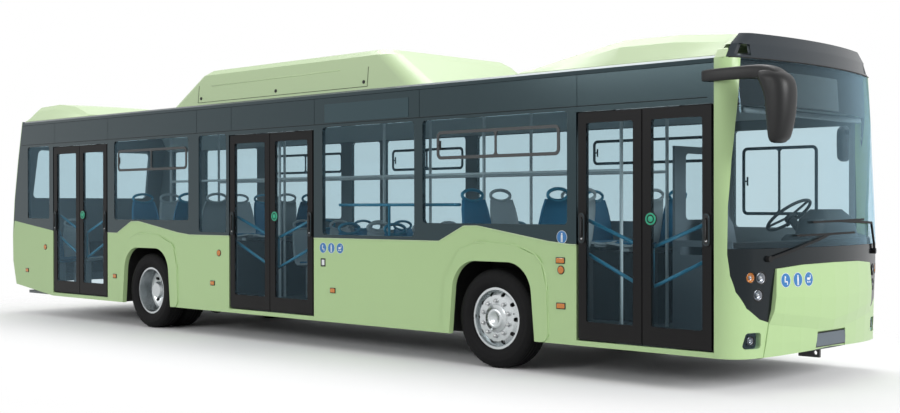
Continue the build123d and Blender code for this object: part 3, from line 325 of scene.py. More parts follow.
def grid_faces(rows, columns, ring=True, loop=False):
    """Faces between rows of points. Each row may close into a ring, and the last row may join the first."""
    steps = [(r, (r + 1) % rows) for r in range(rows if loop else rows - 1)]
    across = [(k, (k + 1) % columns) for k in range(columns if ring else columns - 1)]
    return [(r * columns + k, r * columns + m, s * columns + m, s * columns + k)
            for r, s in steps for k, m in across]


def end_faces(rows, columns):
    """The two faces that close the first and the last ring."""
    return [tuple(range(columns))[::-1], tuple(range((rows - 1) * columns, rows * columns))]


def squared_round(turn, power):
    """A point of a circle, pushed out towards the corners of a square."""
    return [abs(u) ** power * (1 if u > 0 else -1) for u in (cos(turn), sin(turn))]


def oblong(u, v, w, h):
    """The corners of a rectangle, from its middle, its half width and its half height."""
    return [(u - w, v - h), (u + w, v - h), (u + w, v + h), (u - w, v + h)]


class Piece:
    """A mesh put together from simple forms, each with one finish."""

    def __init__(self, name, slot, body="bus_body"):
        self.name, self.slot, self.body = name, slot, body
        self.points, self.faces, self.looks, self.smooth, self.finishes = [], [], [], [], []

    def add(self, points, faces, finish, smooth=True):
        """Adds points and faces in one finish."""
        if finish not in self.finishes:
            self.finishes.append(finish)
        start = len(self.points)
        self.points += [tuple(p) for p in points]
        self.faces += [tuple(start + i for i in face) for face in faces]
        self.looks += [self.finishes.index(finish)] * len(faces)
        self.smooth += [smooth] * len(faces)
        return self

    def turned(self, profile, centre, axis, finish, steps=32, smooth=True):
        """A profile of (radius, height along the axis) turned round the axis."""
        turn = Vector((0, 0, 1)).rotation_difference(Vector(axis)).to_matrix()
        points = []
        for radius, height in profile:
            for k in range(steps):
                a = tau * k / steps
                points.append(Vector(centre) + turn @ Vector((radius * cos(a), radius * sin(a), height)))
        return self.add(points, grid_faces(len(profile), steps), finish, smooth)

    def disc(self, centre, axis, radius, thick, finish, steps=40):
        """A flat round disc with a small rounded edge, standing on its centre along the axis."""
        edge = min(thick, radius) * 0.4
        profile = [(radius, 0), (radius, thick - edge), (radius - edge, thick), (0, thick)]
        return self.turned(profile, centre, axis, finish, steps, False)

    def tube(self, path, radius, finish, steps=12, closed=False):
        """A round bar along a path of points."""
        path = [Vector(p) for p in path]
        count = len(path)
        points = []
        for i, p in enumerate(path):
            ahead = path[(i + 1) % count] if closed or i < count - 1 else p
            behind = path[i - 1] if closed or i else p
            along = (ahead - behind).normalized()
            upright = Vector((0, 0, 1)) if abs(along.z) < 0.9 else Vector((1, 0, 0))
            side = along.cross(upright).normalized()
            up = side.cross(along)
            turns = [tau * k / steps for k in range(steps)]
            points += [p + radius * (cos(a) * side + sin(a) * up) for a in turns]
        ends = [] if closed else end_faces(count, steps)
        return self.add(points, grid_faces(count, steps, loop=closed) + ends, finish)

    def block(self, low, high, finish, bevel=0.003):
        """A box with chamfered edges."""
        (x0, y0, z0), (x1, y1, z1) = low, high
        b = min(bevel, (x1 - x0) / 3, (y1 - y0) / 3, (z1 - z0) / 3)
        rings = []
        for z, inset in ((z0, b), (z0 + b, 0), (z1 - b, 0), (z1, b)):
            near_x, far_x, near_y, far_y = x0 + inset, x1 - inset, y0 + inset, y1 - inset
            rings += [(near_x + b, near_y, z), (far_x - b, near_y, z), (far_x, near_y + b, z),
                      (far_x, far_y - b, z), (far_x - b, far_y, z), (near_x + b, far_y, z),
                      (near_x, far_y - b, z), (near_x, near_y + b, z)]
        return self.add(rings, end_faces(4, 8) + grid_faces(4, 8), finish, False)

    def slab(self, outline, thick, place, finish):
        """A flat outline given thickness: place turns (u, v, height) into a point."""
        count = len(outline)
        points = [place(u, v, h) for h in (0, thick) for u, v in outline]
        return self.add(points, end_faces(2, count) + grid_faces(2, count), finish, False)

    def make(self):
        """Makes the object and lets it ride on its body."""
        mesh = bpy.data.meshes.new(self.name)
        mesh.from_pydata(self.points, [], self.faces)
        for finish in self.finishes:
            mesh.materials.append(finish.made)
        mesh.polygons.foreach_set("material_index", self.looks)
        mesh.polygons.foreach_set("use_smooth", self.smooth)
        mesh.update()
        made = bpy.data.objects.new(self.name, mesh)
        bpy.context.scene.collection.objects.link(made)
        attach(made, self.body)
        return made


# Tyres and wheels

tyre_radius, tyre_half, flange_radius = hub_z, 0.138, 0.2985
twin_step = 0.316
tread = [(-0.078, 0), (-0.070, 0.011), (-0.062, 0), (-0.030, 0), (-0.024, 0.011), (-0.018, 0), (0.018, 0),
         (0.024, 0.011), (0.030, 0), (0.062, 0), (0.070, 0.011), (0.078, 0)]


def tyre_profile(notch):
    """A tyre section as (radius, offset from its middle), with lips on its wall and a notched shoulder."""
    wall = [(flange_radius, tyre_half - 0.026), (flange_radius + 0.010, tyre_half - 0.014),
            (flange_radius + 0.024, tyre_half - 0.012), (flange_radius + 0.027, tyre_half - 0.009),
            (flange_radius + 0.034, tyre_half - 0.009), (flange_radius + 0.038, tyre_half - 0.006),
            (flange_radius + 0.075, tyre_half), (tyre_radius - 0.078, tyre_half - 0.003),
            (tyre_radius - 0.072, tyre_half - 0.0015), (tyre_radius - 0.062, tyre_half - 0.004),
            (tyre_radius - 0.052, tyre_half - 0.008), (tyre_radius - 0.030, tyre_half - 0.016 - notch * 0.5),
            (tyre_radius - 0.012, tyre_half - 0.028 - notch), (tyre_radius - notch, 0.092)]
    crown = [(tyre_radius - depth, y) for y, depth in reversed(tread)]
    return wall + crown + [(r, -y) for r, y in reversed(wall)]


def add_tyre(piece, x, y):
    """A ribbed road tyre round its wheel's centre."""
    steps = 216
    profiles = [tyre_profile(0.006 if k % 3 == 0 else 0) for k in range(steps)]
    points = [(x + r * cos(tau * k / steps), y + off, hub_z + r * sin(tau * k / steps))
              for k, profile in enumerate(profiles) for r, off in profile]
    piece.add(points, grid_faces(steps, len(profiles[0]), ring=False, loop=True), tyre_rubber)


def add_nuts(piece, x, y, side, ring, count=10):
    """Wheel nuts with washers, and a stud's end in each."""
    washer = [(0.024, 0), (0.024, 0.005), (0.021, 0.006)]
    nut = [(0.0185, 0.004), (0.0185, 0.024), (0.015, 0.028), (0.009, 0.028)]
    stud = [(0.0095, 0.02), (0.0095, 0.036), (0, 0.038)]
    for k in range(count):
        a = tau * (k + 0.5) / count
        at = (x + ring * cos(a), y, hub_z + ring * sin(a))
        piece.turned(washer, at, (0, side, 0), steel, 20)
        piece.turned(nut, at, (0, side, 0), steel, 6, False)
        piece.turned(stud, at, (0, side, 0), steel, 10)


hub_cap = [(0.138, 0), (0.138, 0.006), (0.132, 0.012), (0.100, 0.014), (0.096, 0.026), (0.088, 0.032),
           (0.062, 0.034), (0.058, 0.027), (0, 0.0265)]
front_nut_ring, rear_nut_ring = 0.1675, 0.150
for word, side in (("left", 1), ("right", -1)):
    front_tyre = Piece(f"front_{word}_road_tyre", "tyre", f"front_{word}_wheel")
    add_tyre(front_tyre, front_x, side * wheel.y)
    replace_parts(front_tyre.make(), f"front_{word}_tyre")
    twin = Piece(f"rear_{word}_road_tyres", "tyre", f"rear_{word}_wheel")
    add_tyre(twin, rear_x, side * wheel.y)
    add_tyre(twin, rear_x, side * (wheel.y - twin_step))
    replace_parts(twin.make(), f"rear_{word}_twin_tyres")
    fittings = Piece(f"front_{word}_wheel_nuts", "steel", f"front_{word}_wheel")
    face = wheel.y + 0.106
    add_nuts(fittings, front_x, side * face, side, front_nut_ring)
    fittings.turned(hub_cap, (front_x, side * (face - 0.004), hub_z), (0, side, 0), rim_paint, 48)
    valve = [(front_x + 0.2, side * (face - 0.02), hub_z + 0.05),
             (front_x + 0.235, side * (face + 0.012), hub_z + 0.058)]
    fittings.tube(valve, 0.005, rubber, 8)
    fittings.make()
    fittings = Piece(f"rear_{word}_wheel_nuts", "steel", f"rear_{word}_wheel")
    add_nuts(fittings, rear_x, side * (wheel.y - twin_step / 2 + 0.016), side, rear_nut_ring)
    fittings.make()


# Doors: x of each door's button, and of the handle plates of its rear and its front leaf, from the front axle

door_fittings = {"front": (1.842, 1.098, 2.395),
                 "middle": (-3.310, -4.118, -2.694),
                 "rear": (-7.514, -8.266, -6.953)}
door_opening = {"front": (1.030, 2.463), "middle": (-4.185, -2.626), "rear": (-8.333, -6.886)}
leaf_gap, meeting_gap = 0.024, 0.014
leaf_low, leaf_high = 0.370, 2.394
grip_z, button_z = 1.36, 1.446
button_ring = [(0.052, 0.006), (0.052, 0.013), (0.038, 0.014), (0.038, 0.009)]
button_cap = [(0.026, 0.006), (0.026, 0.014), (0.018, 0.016), (0, 0.016)]


def outside(x, z, out=0.0):
    """A point on the right side at x from the front axle."""
    return (front_x + x, -half - out, z)


def oval(long, wide, steps=10):
    """A standing outline with round ends."""
    r, up = wide / 2, long / 2 - wide / 2
    arc = [pi * k / steps for k in range(steps + 1)]
    return [(r * cos(a), up + r * sin(a)) for a in arc] + [(-r * cos(a), -up - r * sin(a)) for a in arc]


def add_handle(piece, x, z):
    """A black oval handle plate with a hollow grip."""

    def place(u, v, h):
        return outside(x + u, z + v, h)

    piece.slab(oval(0.275, 0.070), 0.012, place, trim)
    rim = [outside(x + u * 0.80, z + v * 0.93, 0.012) for u, v in oval(0.275, 0.070)]
    piece.tube(rim, 0.0025, sign_glass, 8, closed=True)
    piece.disc(outside(x, z - 0.092, 0.010), (0, -1, 0), 0.010, 0.006, steel, 20)
    piece.tube([outside(x, z - 0.095, 0.008), outside(x, z - 0.075, 0.024), outside(x, z + 0.075, 0.024),
                outside(x, z + 0.095, 0.008)], 0.008, trim)


for door in doors:
    button_x, rear_plate_x, front_plate_x = door_fittings[door]
    x0, x1 = door_opening[door]
    centre = (x0 + x1) / 2
    for leaf, start, end, run, handle_x in (
            ("rear", x0 + leaf_gap, centre - meeting_gap / 2, 1, rear_plate_x),
            ("front", x1 - leaf_gap, centre + meeting_gap / 2, -1, front_plate_x)):
        body = f"{door}_door_{leaf}_leaf"
        fittings = Piece(f"{body}_fittings", "dark_plastic", body)
        add_handle(fittings, handle_x, grip_z)
        if leaf == "front":
            at = outside(button_x, button_z)
            fittings.disc(at, (0, -1, 0), 0.060, 0.008, trim, 48)
            fittings.turned(button_ring, at, (0, -1, 0), button_green, 48)
            fittings.turned(button_cap, at, (0, -1, 0), button_green, 32)
        lip = [front_x + x for x in sorted((end, end + run * 0.005))]
        fittings.block((lip[0], -half + 0.004, leaf_low), (lip[1], -half + 0.034, leaf_high), rubber)
        edge = [front_x + x for x in sorted((start, end))]
        for z0, z1 in ((leaf_low - 0.012, leaf_low), (leaf_high, leaf_high + 0.004)):
            fittings.block((edge[0], -half + 0.010, z0), (edge[1], -half + 0.030, z1), rubber, 0.001)
        fittings.make()
        rails = Piece(f"{body}_blue_rail", "door_frame", body)
        out_x, in_x = start + run * 0.045, end - run * 0.045
        wall_y, rail_y = -half + 0.040, -half + 0.085
        route = [(out_x, wall_y, 1.430), (out_x, rail_y - 0.006, 1.430),
                 (out_x + run * 0.012, rail_y, 1.4258), (in_x - run * 0.02, rail_y, 1.208),
                 (in_x, rail_y, 1.185), (in_x, rail_y, 0.870), (in_x - run * 0.02, rail_y, 0.862),
                 (out_x + run * 0.012, rail_y, 1.1195), (out_x, rail_y - 0.006, 1.125),
                 (out_x, wall_y, 1.125)]
        rails.tube([(front_x + x, y, z) for x, y, z in route], 0.0165, rail_blue, 16)
        rails.make()


# Stickers, the front plate and lamps

def nose_face(y, z):
    """A point on the front panel with the direction that it faces."""
    low, high = (0.760, 0.024), (1.072, 0.008)
    share = (z - low[0]) / (high[0] - low[0])
    bow = nose_radius - (nose_radius ** 2 - y ** 2) ** 0.5
    x = nose_tip - bow + low[1] + share * (high[1] - low[1])
    facing = Vector((1.0, y / nose_radius, 0.051)).normalized()
    return Vector((x, y, z)), facing


def add_sign_disc(piece, at, facing, radius, mark):
    """A round blue pictogram disc with a white rim and a plain white mark."""
    piece.disc(at, facing, radius, 0.0012, white_film, 48)
    piece.disc(at, facing, radius * 0.94, 0.0018, disc_blue, 48)
    at, facing = Vector(at), Vector(facing)
    side = Vector((0, 0, 1)).cross(facing).normalized()
    up = facing.cross(side)

    def place(u, v, h):
        return at + (side * u + up * v) * radius + facing * (0.0018 + h)

    for part in mark:
        piece.slab(oblong(*part), 0.0004, place, white_film)


seat_mark = [(-0.10, 0.42, 0.13, 0.13), (-0.16, 0.0, 0.10, 0.28), (0.08, -0.20, 0.26, 0.09),
             (0.30, -0.42, 0.08, 0.20)]
walker_mark = [(0, 0.50, 0.13, 0.13), (0, 0.06, 0.17, 0.28), (-0.10, -0.48, 0.07, 0.28),
               (0.10, -0.48, 0.07, 0.28)]
cart_mark = [(-0.10, 0.05, 0.32, 0.16), (0.34, 0.30, 0.07, 0.26), (-0.28, -0.38, 0.12, 0.12),
             (0.20, -0.38, 0.12, 0.12)]
stickers = Piece("blue_pictogram_discs", "dark_plastic")
for y, mark in ((-0.745, seat_mark), (-0.586, walker_mark), (-0.433, cart_mark)):
    at, facing = nose_face(y, 0.936)
    add_sign_disc(stickers, at, facing, 0.062, mark)
for x, z, mark in ((-2.470, 1.105, seat_mark), (-2.333, 1.105, walker_mark), (-2.190, 1.105, cart_mark)):
    add_sign_disc(stickers, outside(x, z), (0, -1, 0), 0.058, mark)
add_sign_disc(stickers, outside(0.865, 1.275), (0, -1, 0), 0.060, walker_mark)
for w, h, thick, finish in ((0.04, 0.045, 0.001, trim), (0.022, 0.03, 0.0014, white_film)):
    stickers.slab(oblong(-2.470, 0.945, w, h), thick, outside, finish)
stickers.make()

plate = Piece("blank_front_plate", "dark_plastic")
plate_x = nose_tip - 0.030
plate.block((plate_x, -0.262, 0.345), (plate_x + 0.006, 0.262, 0.457), plate_blank, 0.002)
plate.block((plate_x - 0.012, -0.270, 0.337), (plate_x + 0.002, 0.270, 0.465), trim, 0.004)
plate.make()


def skin_of(node):
    """A tree for finding the surface of a CAD node."""
    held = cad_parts[node]
    points = [held.matrix_world @ v.co for v in held.data.vertices]
    return BVHTree.FromPolygons(points, [p.vertices for p in held.data.polygons])


def eased(rows, share):
    """A row between the rows of a table, on a smooth curve through them."""
    place = share * (len(rows) - 1)
    k = min(int(place), len(rows) - 2)
    t = place - k
    before, start, end, after = (rows[max(0, min(len(rows) - 1, k + d))] for d in (-1, 0, 1, 2))
    row = []
    for a, b, c, d in zip(before, start, end, after):
        bend = (2 * a - 5 * b + 4 * c - d) * t * t + (3 * b - a - 3 * c + d) * t ** 3
        row.append(0.5 * (2 * b + (c - a) * t + bend))
    return row


def islands(node):
    """The separate solids of a CAD node, each as the list of its points."""
    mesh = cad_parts[node].data
    key = [tuple(round(c, 5) for c in v.co) for v in mesh.vertices]
    parent = {k: k for k in key}

    def root(k):
        while parent[k] != k:
            parent[k] = parent[parent[k]]
            k = parent[k]
        return k

    for face in mesh.polygons:
        first = root(key[face.vertices[0]])
        for index in face.vertices[1:]:
            parent[root(key[index])] = first
    groups = {}
    for k in set(key):
        groups.setdefault(root(k), []).append(Vector(k))
    return list(groups.values())


def box_of(points):
    """The lowest and highest corner of some points."""
    return (Vector(map(min, zip(*points))), Vector(map(max, zip(*points))))


tail_heights = sorted({round(box_of(points)[0].z, 2) for points in islands("tail_lamps")})
if len(tail_heights) > 2:
    look_where("tail_lamps", clear_lamp, lambda at, facing: at.z < tail_heights[1])
    look_where("tail_lamps", amber, lambda at, facing: at.z > tail_heights[-1])

# Profiles of a head lamp's ring, bowl and bulb, as shares of its radius and heights
ring = [(1.02, -0.004), (1.10, 0.004), (1.06, 0.012), (0.92, 0.010), (0.90, 0.002)]
bowl = [(0.86, 0.004), (0.80, 0.010), (0.74, 0.004), (0.45, -0.006), (0, -0.008)]
bulb = [(0.34, -0.006), (0.30, 0.006), (0.16, 0.011), (0, 0.012)]
fog_radius = 0.036
lamp_rings = Piece("head_lamp_rings", "dark_plastic")
for points in islands("head_lamps"):
    low, high = box_of(points)
    centre = (low + high) / 2
    radius = (high.z - low.z) / 2
    facing = Vector((0.94, 0.34 * (1 if centre.y > 0 else -1), 0)).normalized()
    at = Vector((centre.x + 0.004, centre.y, centre.z)) + facing * 0.012
    look = amber if abs(centre.y) > 1.08 and centre.z > 0.9 else chrome
    if radius > 0.05 and centre.z < 0.6:
        radius = fog_radius
    for profile, finish, steps in ((ring, trim, 40), (bowl, look, 36), (bulb, clear_lamp, 24)):
        lamp_rings.turned([(radius * share, h) for share, h in profile], at, facing, finish, steps)
lamp_rings.make()

# Side lamps: x from the front axle, z, half length, half height, and round reflectors with a radius
side_lamps = [(0.849, 1.061, 0.046, 0.022), (0.855, 0.647, 0.046, 0.022), (-2.307, 0.645, 0.036, 0.022),
              (-4.514, 0.635, 0.036, 0.022), (-6.706, 0.638, 0.036, 0.022), (-9.077, 0.637, 0.036, 0.022)]
side_reflectors = [(0.855, 0.975, 0.034), (-4.385, 1.001, 0.034), (-8.550, 0.984, 0.034)]
marker_lamps = Piece("side_marker_lamps", "lamp_amber")
for side in (-1, 1):
    for x, z, long, high in side_lamps:
        y = side * half
        for grow, out, finish in ((0.007, 0.008, trim), (0, 0.013, amber)):
            low, top = sorted((y, y + side * out))
            marker_lamps.block((front_x + x - long - grow, low, z - high - grow),
                               (front_x + x + long + grow, top, z + high + grow), finish, 0.005)
    for x, z, radius in side_reflectors:
        at = (front_x + x, side * half, z)
        marker_lamps.disc(at, (0, side, 0), radius + 0.007, 0.006, trim)
        marker_lamps.disc(at, (0, side, 0), radius, 0.011, amber)
        bead = [(radius * 0.75, 0.0115), (radius * 0.68, 0.013), (radius * 0.60, 0.0115)]
        marker_lamps.turned(bead, at, (0, side, 0), amber, 32)
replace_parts(marker_lamps.make(), "side_markers")


# Mirrors: height, depth, width, x and y offsets of each rounded section

right_head = [(2.068, 0.105, 0.165, -0.030, -0.006), (2.110, 0.150, 0.215, -0.022, -0.002),
              (2.260, 0.198, 0.252, -0.012, 0), (2.420, 0.228, 0.270, -0.014, 0),
              (2.520, 0.256, 0.275, -0.036, 0), (2.580, 0.250, 0.265, -0.064, 0),
              (2.625, 0.196, 0.210, -0.096, 0)]
left_head = [(2.007, 0.060, 0.150, 0, 0), (2.050, 0.095, 0.190, 0, 0), (2.270, 0.095, 0.200, 0, 0),
             (2.325, 0.060, 0.150, 0, 0)]


def add_head(piece, rows, x, y, steps=40, layers=28):
    """A mirror head through rounded sections, closed by shrunk sections at both ends."""
    rings = [eased(rows, k / layers) for k in range(layers + 1)]
    first, last = rings[0], rings[-1]
    for size, drop in ((0.85, 0.008), (0.55, 0.014), (0.05, 0.016)):
        rings.insert(0, [first[0] - drop, first[1] * size, first[2] * size, first[3], first[4]])
        rings.append([last[0] + drop, last[1] * size, last[2] * size, last[3], last[4]])
    points = []
    for z, deep, wide, dx, dy in rings:
        for k in range(steps):
            u, v = squared_round(tau * k / steps, 0.8)
            points.append((x + dx + deep / 2 * u, y + dy + wide / 2 * v, z))
    piece.add(points, grid_faces(len(rings), steps), trim)


def add_band(piece, rows, side_y, finish):
    """A flat band with round edges, through rows of x from the front axle, y from side_y, z, half sizes."""
    steps = 20
    points = []
    path = [Vector((front_x + x, side_y + y, z)) for x, y, z, high, deep in rows]
    for i, p in enumerate(path):
        along = (path[min(i + 1, len(path) - 1)] - path[max(i - 1, 0)]).normalized()
        side = (Vector((0, -1, 0)) + along * along.y).normalized()
        up = side.cross(along)
        high, deep = rows[i][3:]
        for k in range(steps):
            u, v = squared_round(tau * k / steps, 0.6)
            points.append(p + side * deep * u + up * high * v)
    piece.add(points, grid_faces(len(path), steps) + end_faces(len(path), steps), finish)


# The arms: x from the front axle, y from the side, z, half height and half depth
right_arm = [(2.366, -0.016, 2.631, 0.044, 0.014), (2.440, -0.026, 2.631, 0.050, 0.020),
             (2.560, -0.034, 2.631, 0.052, 0.024), (2.740, -0.036, 2.631, 0.053, 0.028),
             (2.840, -0.034, 2.629, 0.056, 0.042), (2.920, -0.026, 2.620, 0.064, 0.066),
             (2.985, -0.014, 2.596, 0.078, 0.094), (3.030, -0.006, 2.556, 0.092, 0.114),
             (3.055, 0, 2.500, 0.100, 0.124), (3.062, 0, 2.440, 0.098, 0.122)]
left_arm = [(2.438, 0.012, 2.275, 0.025, 0.010), (2.400, 0.024, 2.275, 0.025, 0.014),
            (2.275, 0.110, 2.275, 0.022, 0.014)]
arm_steps = 36
mirrors = Piece("mirror_housings", "dark_plastic")
add_head(mirrors, right_head, front_x + 3.086, -half - 0.002)
add_band(mirrors, [eased(right_arm, k / arm_steps) for k in range(arm_steps + 1)], -half, trim)
add_head(mirrors, left_head, front_x + 2.262, half + 0.125)
add_band(mirrors, left_arm, half, trim)
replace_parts(mirrors.make(), "mirrors")


# The windscreen's black edge: height, setback and corner radius of the nose's sections

nose_rows = [(1.205, 0.004, 0.228), (1.560, 0.018, 0.220), (1.930, 0.038, 0.210), (2.320, 0.058, 0.185),
             (2.560, 0.074, 0.175), (2.7785, 0.088, 0.165)]


def nose_point(y, z, inset):
    """A point on the nose at a distance from the middle and a height, moved inwards."""
    for low, high in zip(nose_rows, nose_rows[1:]):
        if z <= high[0]:
            break
    share = (z - low[0]) / (high[0] - low[0])
    setback, corner = (low[i] + share * (high[i] - low[i]) for i in (1, 2))
    tip, radius = nose_tip - setback, nose_radius
    sine = (half - corner) / (radius - corner)
    join_y = (radius - inset) * sine
    centre_x = tip - radius
    if abs(y) <= join_y:
        return (centre_x + ((radius - inset) ** 2 - y ** 2) ** 0.5, y, z)
    corner_x = centre_x + (radius - corner) * (1 - sine ** 2) ** 0.5
    reach = min(abs(y) - (half - corner), corner - inset)
    rise = max((corner - inset) ** 2 - reach ** 2, 0) ** 0.5
    return (corner_x + rise, y, z)


def add_frit(piece, y0, y1, z0, z1, inset, finish, columns=48, rows=8):
    """A thin dark film that follows the windscreen."""
    points = [nose_point(y0 + (y1 - y0) * i / columns, z0 + (z1 - z0) * j / rows, inset)
              for j in range(rows + 1) for i in range(columns + 1)]
    piece.add(points, grid_faces(rows + 1, columns + 1, ring=False), finish)


glass_back = 0.0475
frit_band = Piece("windscreen_black_edge", "dark_plastic")
add_frit(frit_band, -1.225, 1.225, 2.385, 2.775, glass_back, frit)
add_frit(frit_band, -1.20, 1.20, 1.207, 1.255, glass_back, frit)
add_frit(frit_band, -0.643, 0.341, 2.401, 2.690, glass_back - 0.001, display_face, 24, 4)
seam_ys = [-1.235 + 2.47 * k / 48 for k in range(49)]
frit_band.tube([nose_point(y, 2.7785, -0.0005) for y in seam_ys], 0.0055, rubber, 8)
frit_band.make()


# Gas cylinder fairing: a side panel with three fasteners

def fairing_side(x, z, out, side):
    """A point on the cylinder fairing's side wall."""
    return (front_x + x, side * (1.0755 - (z - 2.8) * 0.035 / 0.385 + out), z)


fairing_lines = Piece("cylinder_fairing_seams", "green_paint")
panel_x = (-5.098, -1.975)
for side in (-1, 1):
    for x in panel_x:
        upright = [fairing_side(x, z, 0.0005, side) for z in (2.852, 2.95, 3.065)]
        fairing_lines.tube(upright, 0.0028, rubber, 8)
    fairing_lines.tube([fairing_side(x, 2.852, 0.0005, side) for x in panel_x], 0.0028, rubber, 8)
    crease = [fairing_side(x, z, -0.002, side) for x, z in ((-4.834, 3.048), (-3.6, 3.055), (-2.442, 3.062))]
    fairing_lines.tube(crease, 0.007, lime_painted_lighter, 12)
    for x in (-5.040, -3.554, -2.035):
        fairing_lines.disc(fairing_side(x, 2.903, 0.001, side), (0, side, 0), 0.020, 0.006, trim)
fairing_lines.make()


# Vent latches

latch_inset = 0.055
vents = Piece("vent_latches", "dark_plastic")
for points in islands("hopper_frames"):
    low, high = box_of(points)
    if high.x - low.x < 0.5:
        continue
    side = 1 if low.y > 0 else -1
    face = high.y if side > 0 else low.y
    x, z = low.x + latch_inset, (low.z + high.z) / 2
    y0, y1 = sorted((face - side * 0.004, face + side * 0.010))
    vents.block((x - 0.008, y0, z - 0.045), (x + 0.008, y1, z + 0.045), trim, 0.002)
    vents.block((x - 0.030, y0, z - 0.008), (x + 0.008, y1, z + 0.008), trim, 0.002)
vents.make()


# The crease along the pressed wings, from the top of each round to its foot ahead of the wheel, and a painted
# highlight along the panels' upper edge

panels = skin_of("side_panels")
wing_line = [(-0.42, 1.130), (-0.19, 1.204), (0.06, 1.205), (0.30, 1.188), (0.53, 1.115), (0.635, 1.010),
             (0.688, 0.800), (0.705, 0.500), (0.710, 0.370)]
# Runs of the painted highlight along each side's upper panel edge, x from the front axle
belt_highlight_runs = {-1: [(-6.886, -4.185), (-2.626, 1.030)], 1: [(-8.9, 2.45)]}


def belt_height(x):
    """The height of the panels' upper edge at x from the front axle."""
    hump = [(-0.700, 0), (-0.362, belt_hump), (-0.182, belt_hump + 0.003), (0.700, 0.024), (0.955, 0)]
    line = [(tail_x + 0.130 - front_x, 1.352), (-8.333, belt_z + 0.012)]
    for axle in (rear_x, front_x):
        line += [(axle - front_x + dx, belt_z + dz) for dx, dz in hump]
    line.append((3.0, belt_z))
    for low, high in zip(line, line[1:]):
        if x <= high[0]:
            break
    return low[1] + (high[1] - low[1]) * (x - low[0]) / (high[0] - low[0])


creases = Piece("wing_creases_and_painted_belt_highlight", "green_paint")
for side in (-1, 1):
    for axle in (front_x, rear_x):
        path = []
        for k in range(61):
            dx, z = eased(wing_line, k / 60)
            hit = panels.ray_cast(Vector((axle + dx, side * 2.0, z)), Vector((0, -side, 0)))[0]
            path.append(Vector((axle + dx, (hit.y if hit else side * half) - side * 0.003, z)))
        creases.tube(path, 0.010, lime, 12)
    # A thin tube of the lighter lime paint along the panels' upper edge: a painted highlight.
    for x0, x1 in belt_highlight_runs[side]:
        run = [x0 + (x1 - x0) * k / 240 for k in range(241)]
        path = [(front_x + x, side * (half + 0.0005), belt_height(x)) for x in run]
        creases.tube(path, 0.006, lime_painted_lighter, 8)
creases.make()


# Cove: the seam under it, and a blank sign behind a pane

cove = skin_of("cove_panels")
seams = Piece("cove_seams", "dark_plastic")
cove_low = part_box("cove_panels")[0]


def on_cove(x, z, out, side=-1):
    """A point on the cove at x from the front axle, moved outwards."""
    hit = cove.ray_cast(Vector((front_x + x, side * 2.0, z)), Vector((0, -side, 0)))[0]
    return Vector((front_x + x, (hit.y if hit else side * half) + side * out, z))


for side in (-1, 1):
    y = side * (half + 0.0005)
    seams.tube([(cove_low.x + 0.06, y, cove_low.z), (front_x + 2.40, y, cove_low.z)], 0.0035, rubber, 8)
sign_x, sign_z = (-2.440, -1.130), (2.470, 2.670)
sign_corners = [(sign_x[i], sign_z[j]) for i, j in ((0, 0), (1, 0), (1, 1), (0, 1))]
points = [on_cove(x, z, out) for out in (0.001, 0.003) for x, z in sign_corners]
seams.add(points, [(4, 5, 6, 7)] + grid_faces(2, 4), sign_glass, False)
seams.make()


# Ceiling, rails of the standing bay, and seats

inside = Piece("ceiling_lining", "floor_cover")
crown, eave, reach = 2.840, 2.752, 1.17
inner_cove = [(1.216, 2.432), (1.205, 2.452), (1.060, 2.700), (0.985, 2.772)]
light_step, light_long = 1.25, 1.15
arc = [(y / 10 * reach, crown - (crown - eave) * (y / 10) ** 2) for y in range(-10, 11)]
length_x = (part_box("roof")[0].x + 0.15, front_x + 2.40)
points = [(x, y, z) for x in length_x for y, z in arc]
inside.add(points, grid_faces(2, len(arc), ring=False), lining)
for side in (-1, 1):
    points = [(x, side * y, z) for x in length_x for y, z in inner_cove]
    inside.add(points, grid_faces(2, len(inner_cove), ring=False), lining)
    light_y = side * 0.62
    for k in range(8):
        x = front_x - 8.6 + k * light_step
        inside.block((x, light_y - 0.05, 2.775), (x + light_long, light_y + 0.05, 2.800), white_film, 0.01)
inside.block((front_x + 2.56, -1.02, 2.335), (front_x + 2.60, 1.08, 2.392), lining_dark, 0.012)
bay_rail = [(-2.24, -1.236), (-2.24, -1.16), (-2.21, -1.14), (-0.55, -1.14), (-0.52, -1.16), (-0.52, -1.236)]
inside.tube([(front_x + x, y, 1.573) for x, y in bay_rail], 0.016, rail_blue, 14)
bay_post = [(-1.14, 1.573), (-1.14, 1.22), (-1.236, 1.20)]
inside.tube([(front_x - 1.56, y, z) for y, z in bay_post], 0.014, rail_blue, 14)
inside.make()


def add_seat(piece, x, y, base, run, finish):
    """A moulded seat with a dished pan, a tapering back and a round grab loop; run is the way it faces."""
    # Distance ahead, height and half width, from the pan's front edge to the top of the back
    section = [(0.205, 0.430, 0.208), (0.212, 0.455, 0.206), (0.185, 0.468, 0.204), (0.05, 0.452, 0.206),
               (-0.12, 0.440, 0.208), (-0.165, 0.470, 0.208), (-0.185, 0.540, 0.208), (-0.210, 0.680, 0.204),
               (-0.236, 0.820, 0.188), (-0.256, 0.925, 0.160)]
    count = 13
    points = []
    for thick in (0, 0.024):
        for u, v, wide in section:
            for k in range(count):
                across = -1 + 2 * k / (count - 1)
                moved = 0.016 * across ** 2 - thick
                ahead, raised = (moved, 0) if v > 0.5 else (0, moved)
                points.append((x + run * (u + ahead), y + wide * across, base + v + raised))
    size = len(section) * count
    sheet = grid_faces(len(section), count, ring=False)
    faces = sheet + [tuple(size + i for i in face) for face in sheet]
    rims = [(r * count + k, (r + 1) * count + k) for r in range(len(section) - 1) for k in (0, count - 1)]
    rims += [(r * count + k, r * count + k + 1) for r in (0, len(section) - 1) for k in range(count - 1)]
    faces += [(a, b, size + b, size + a) for a, b in rims]
    piece.add(points, faces, finish)
    turns = [tau * k / 28 for k in range(28)]
    loop = [(x + run * (-0.268 - 0.006 * sin(a)), y + 0.150 * cos(a), base + 0.965 + 0.056 * sin(a))
            for a in turns]
    piece.tube(loop, 0.017, rail_blue if finish is seat_blue else seat_grey, 10, closed=True)


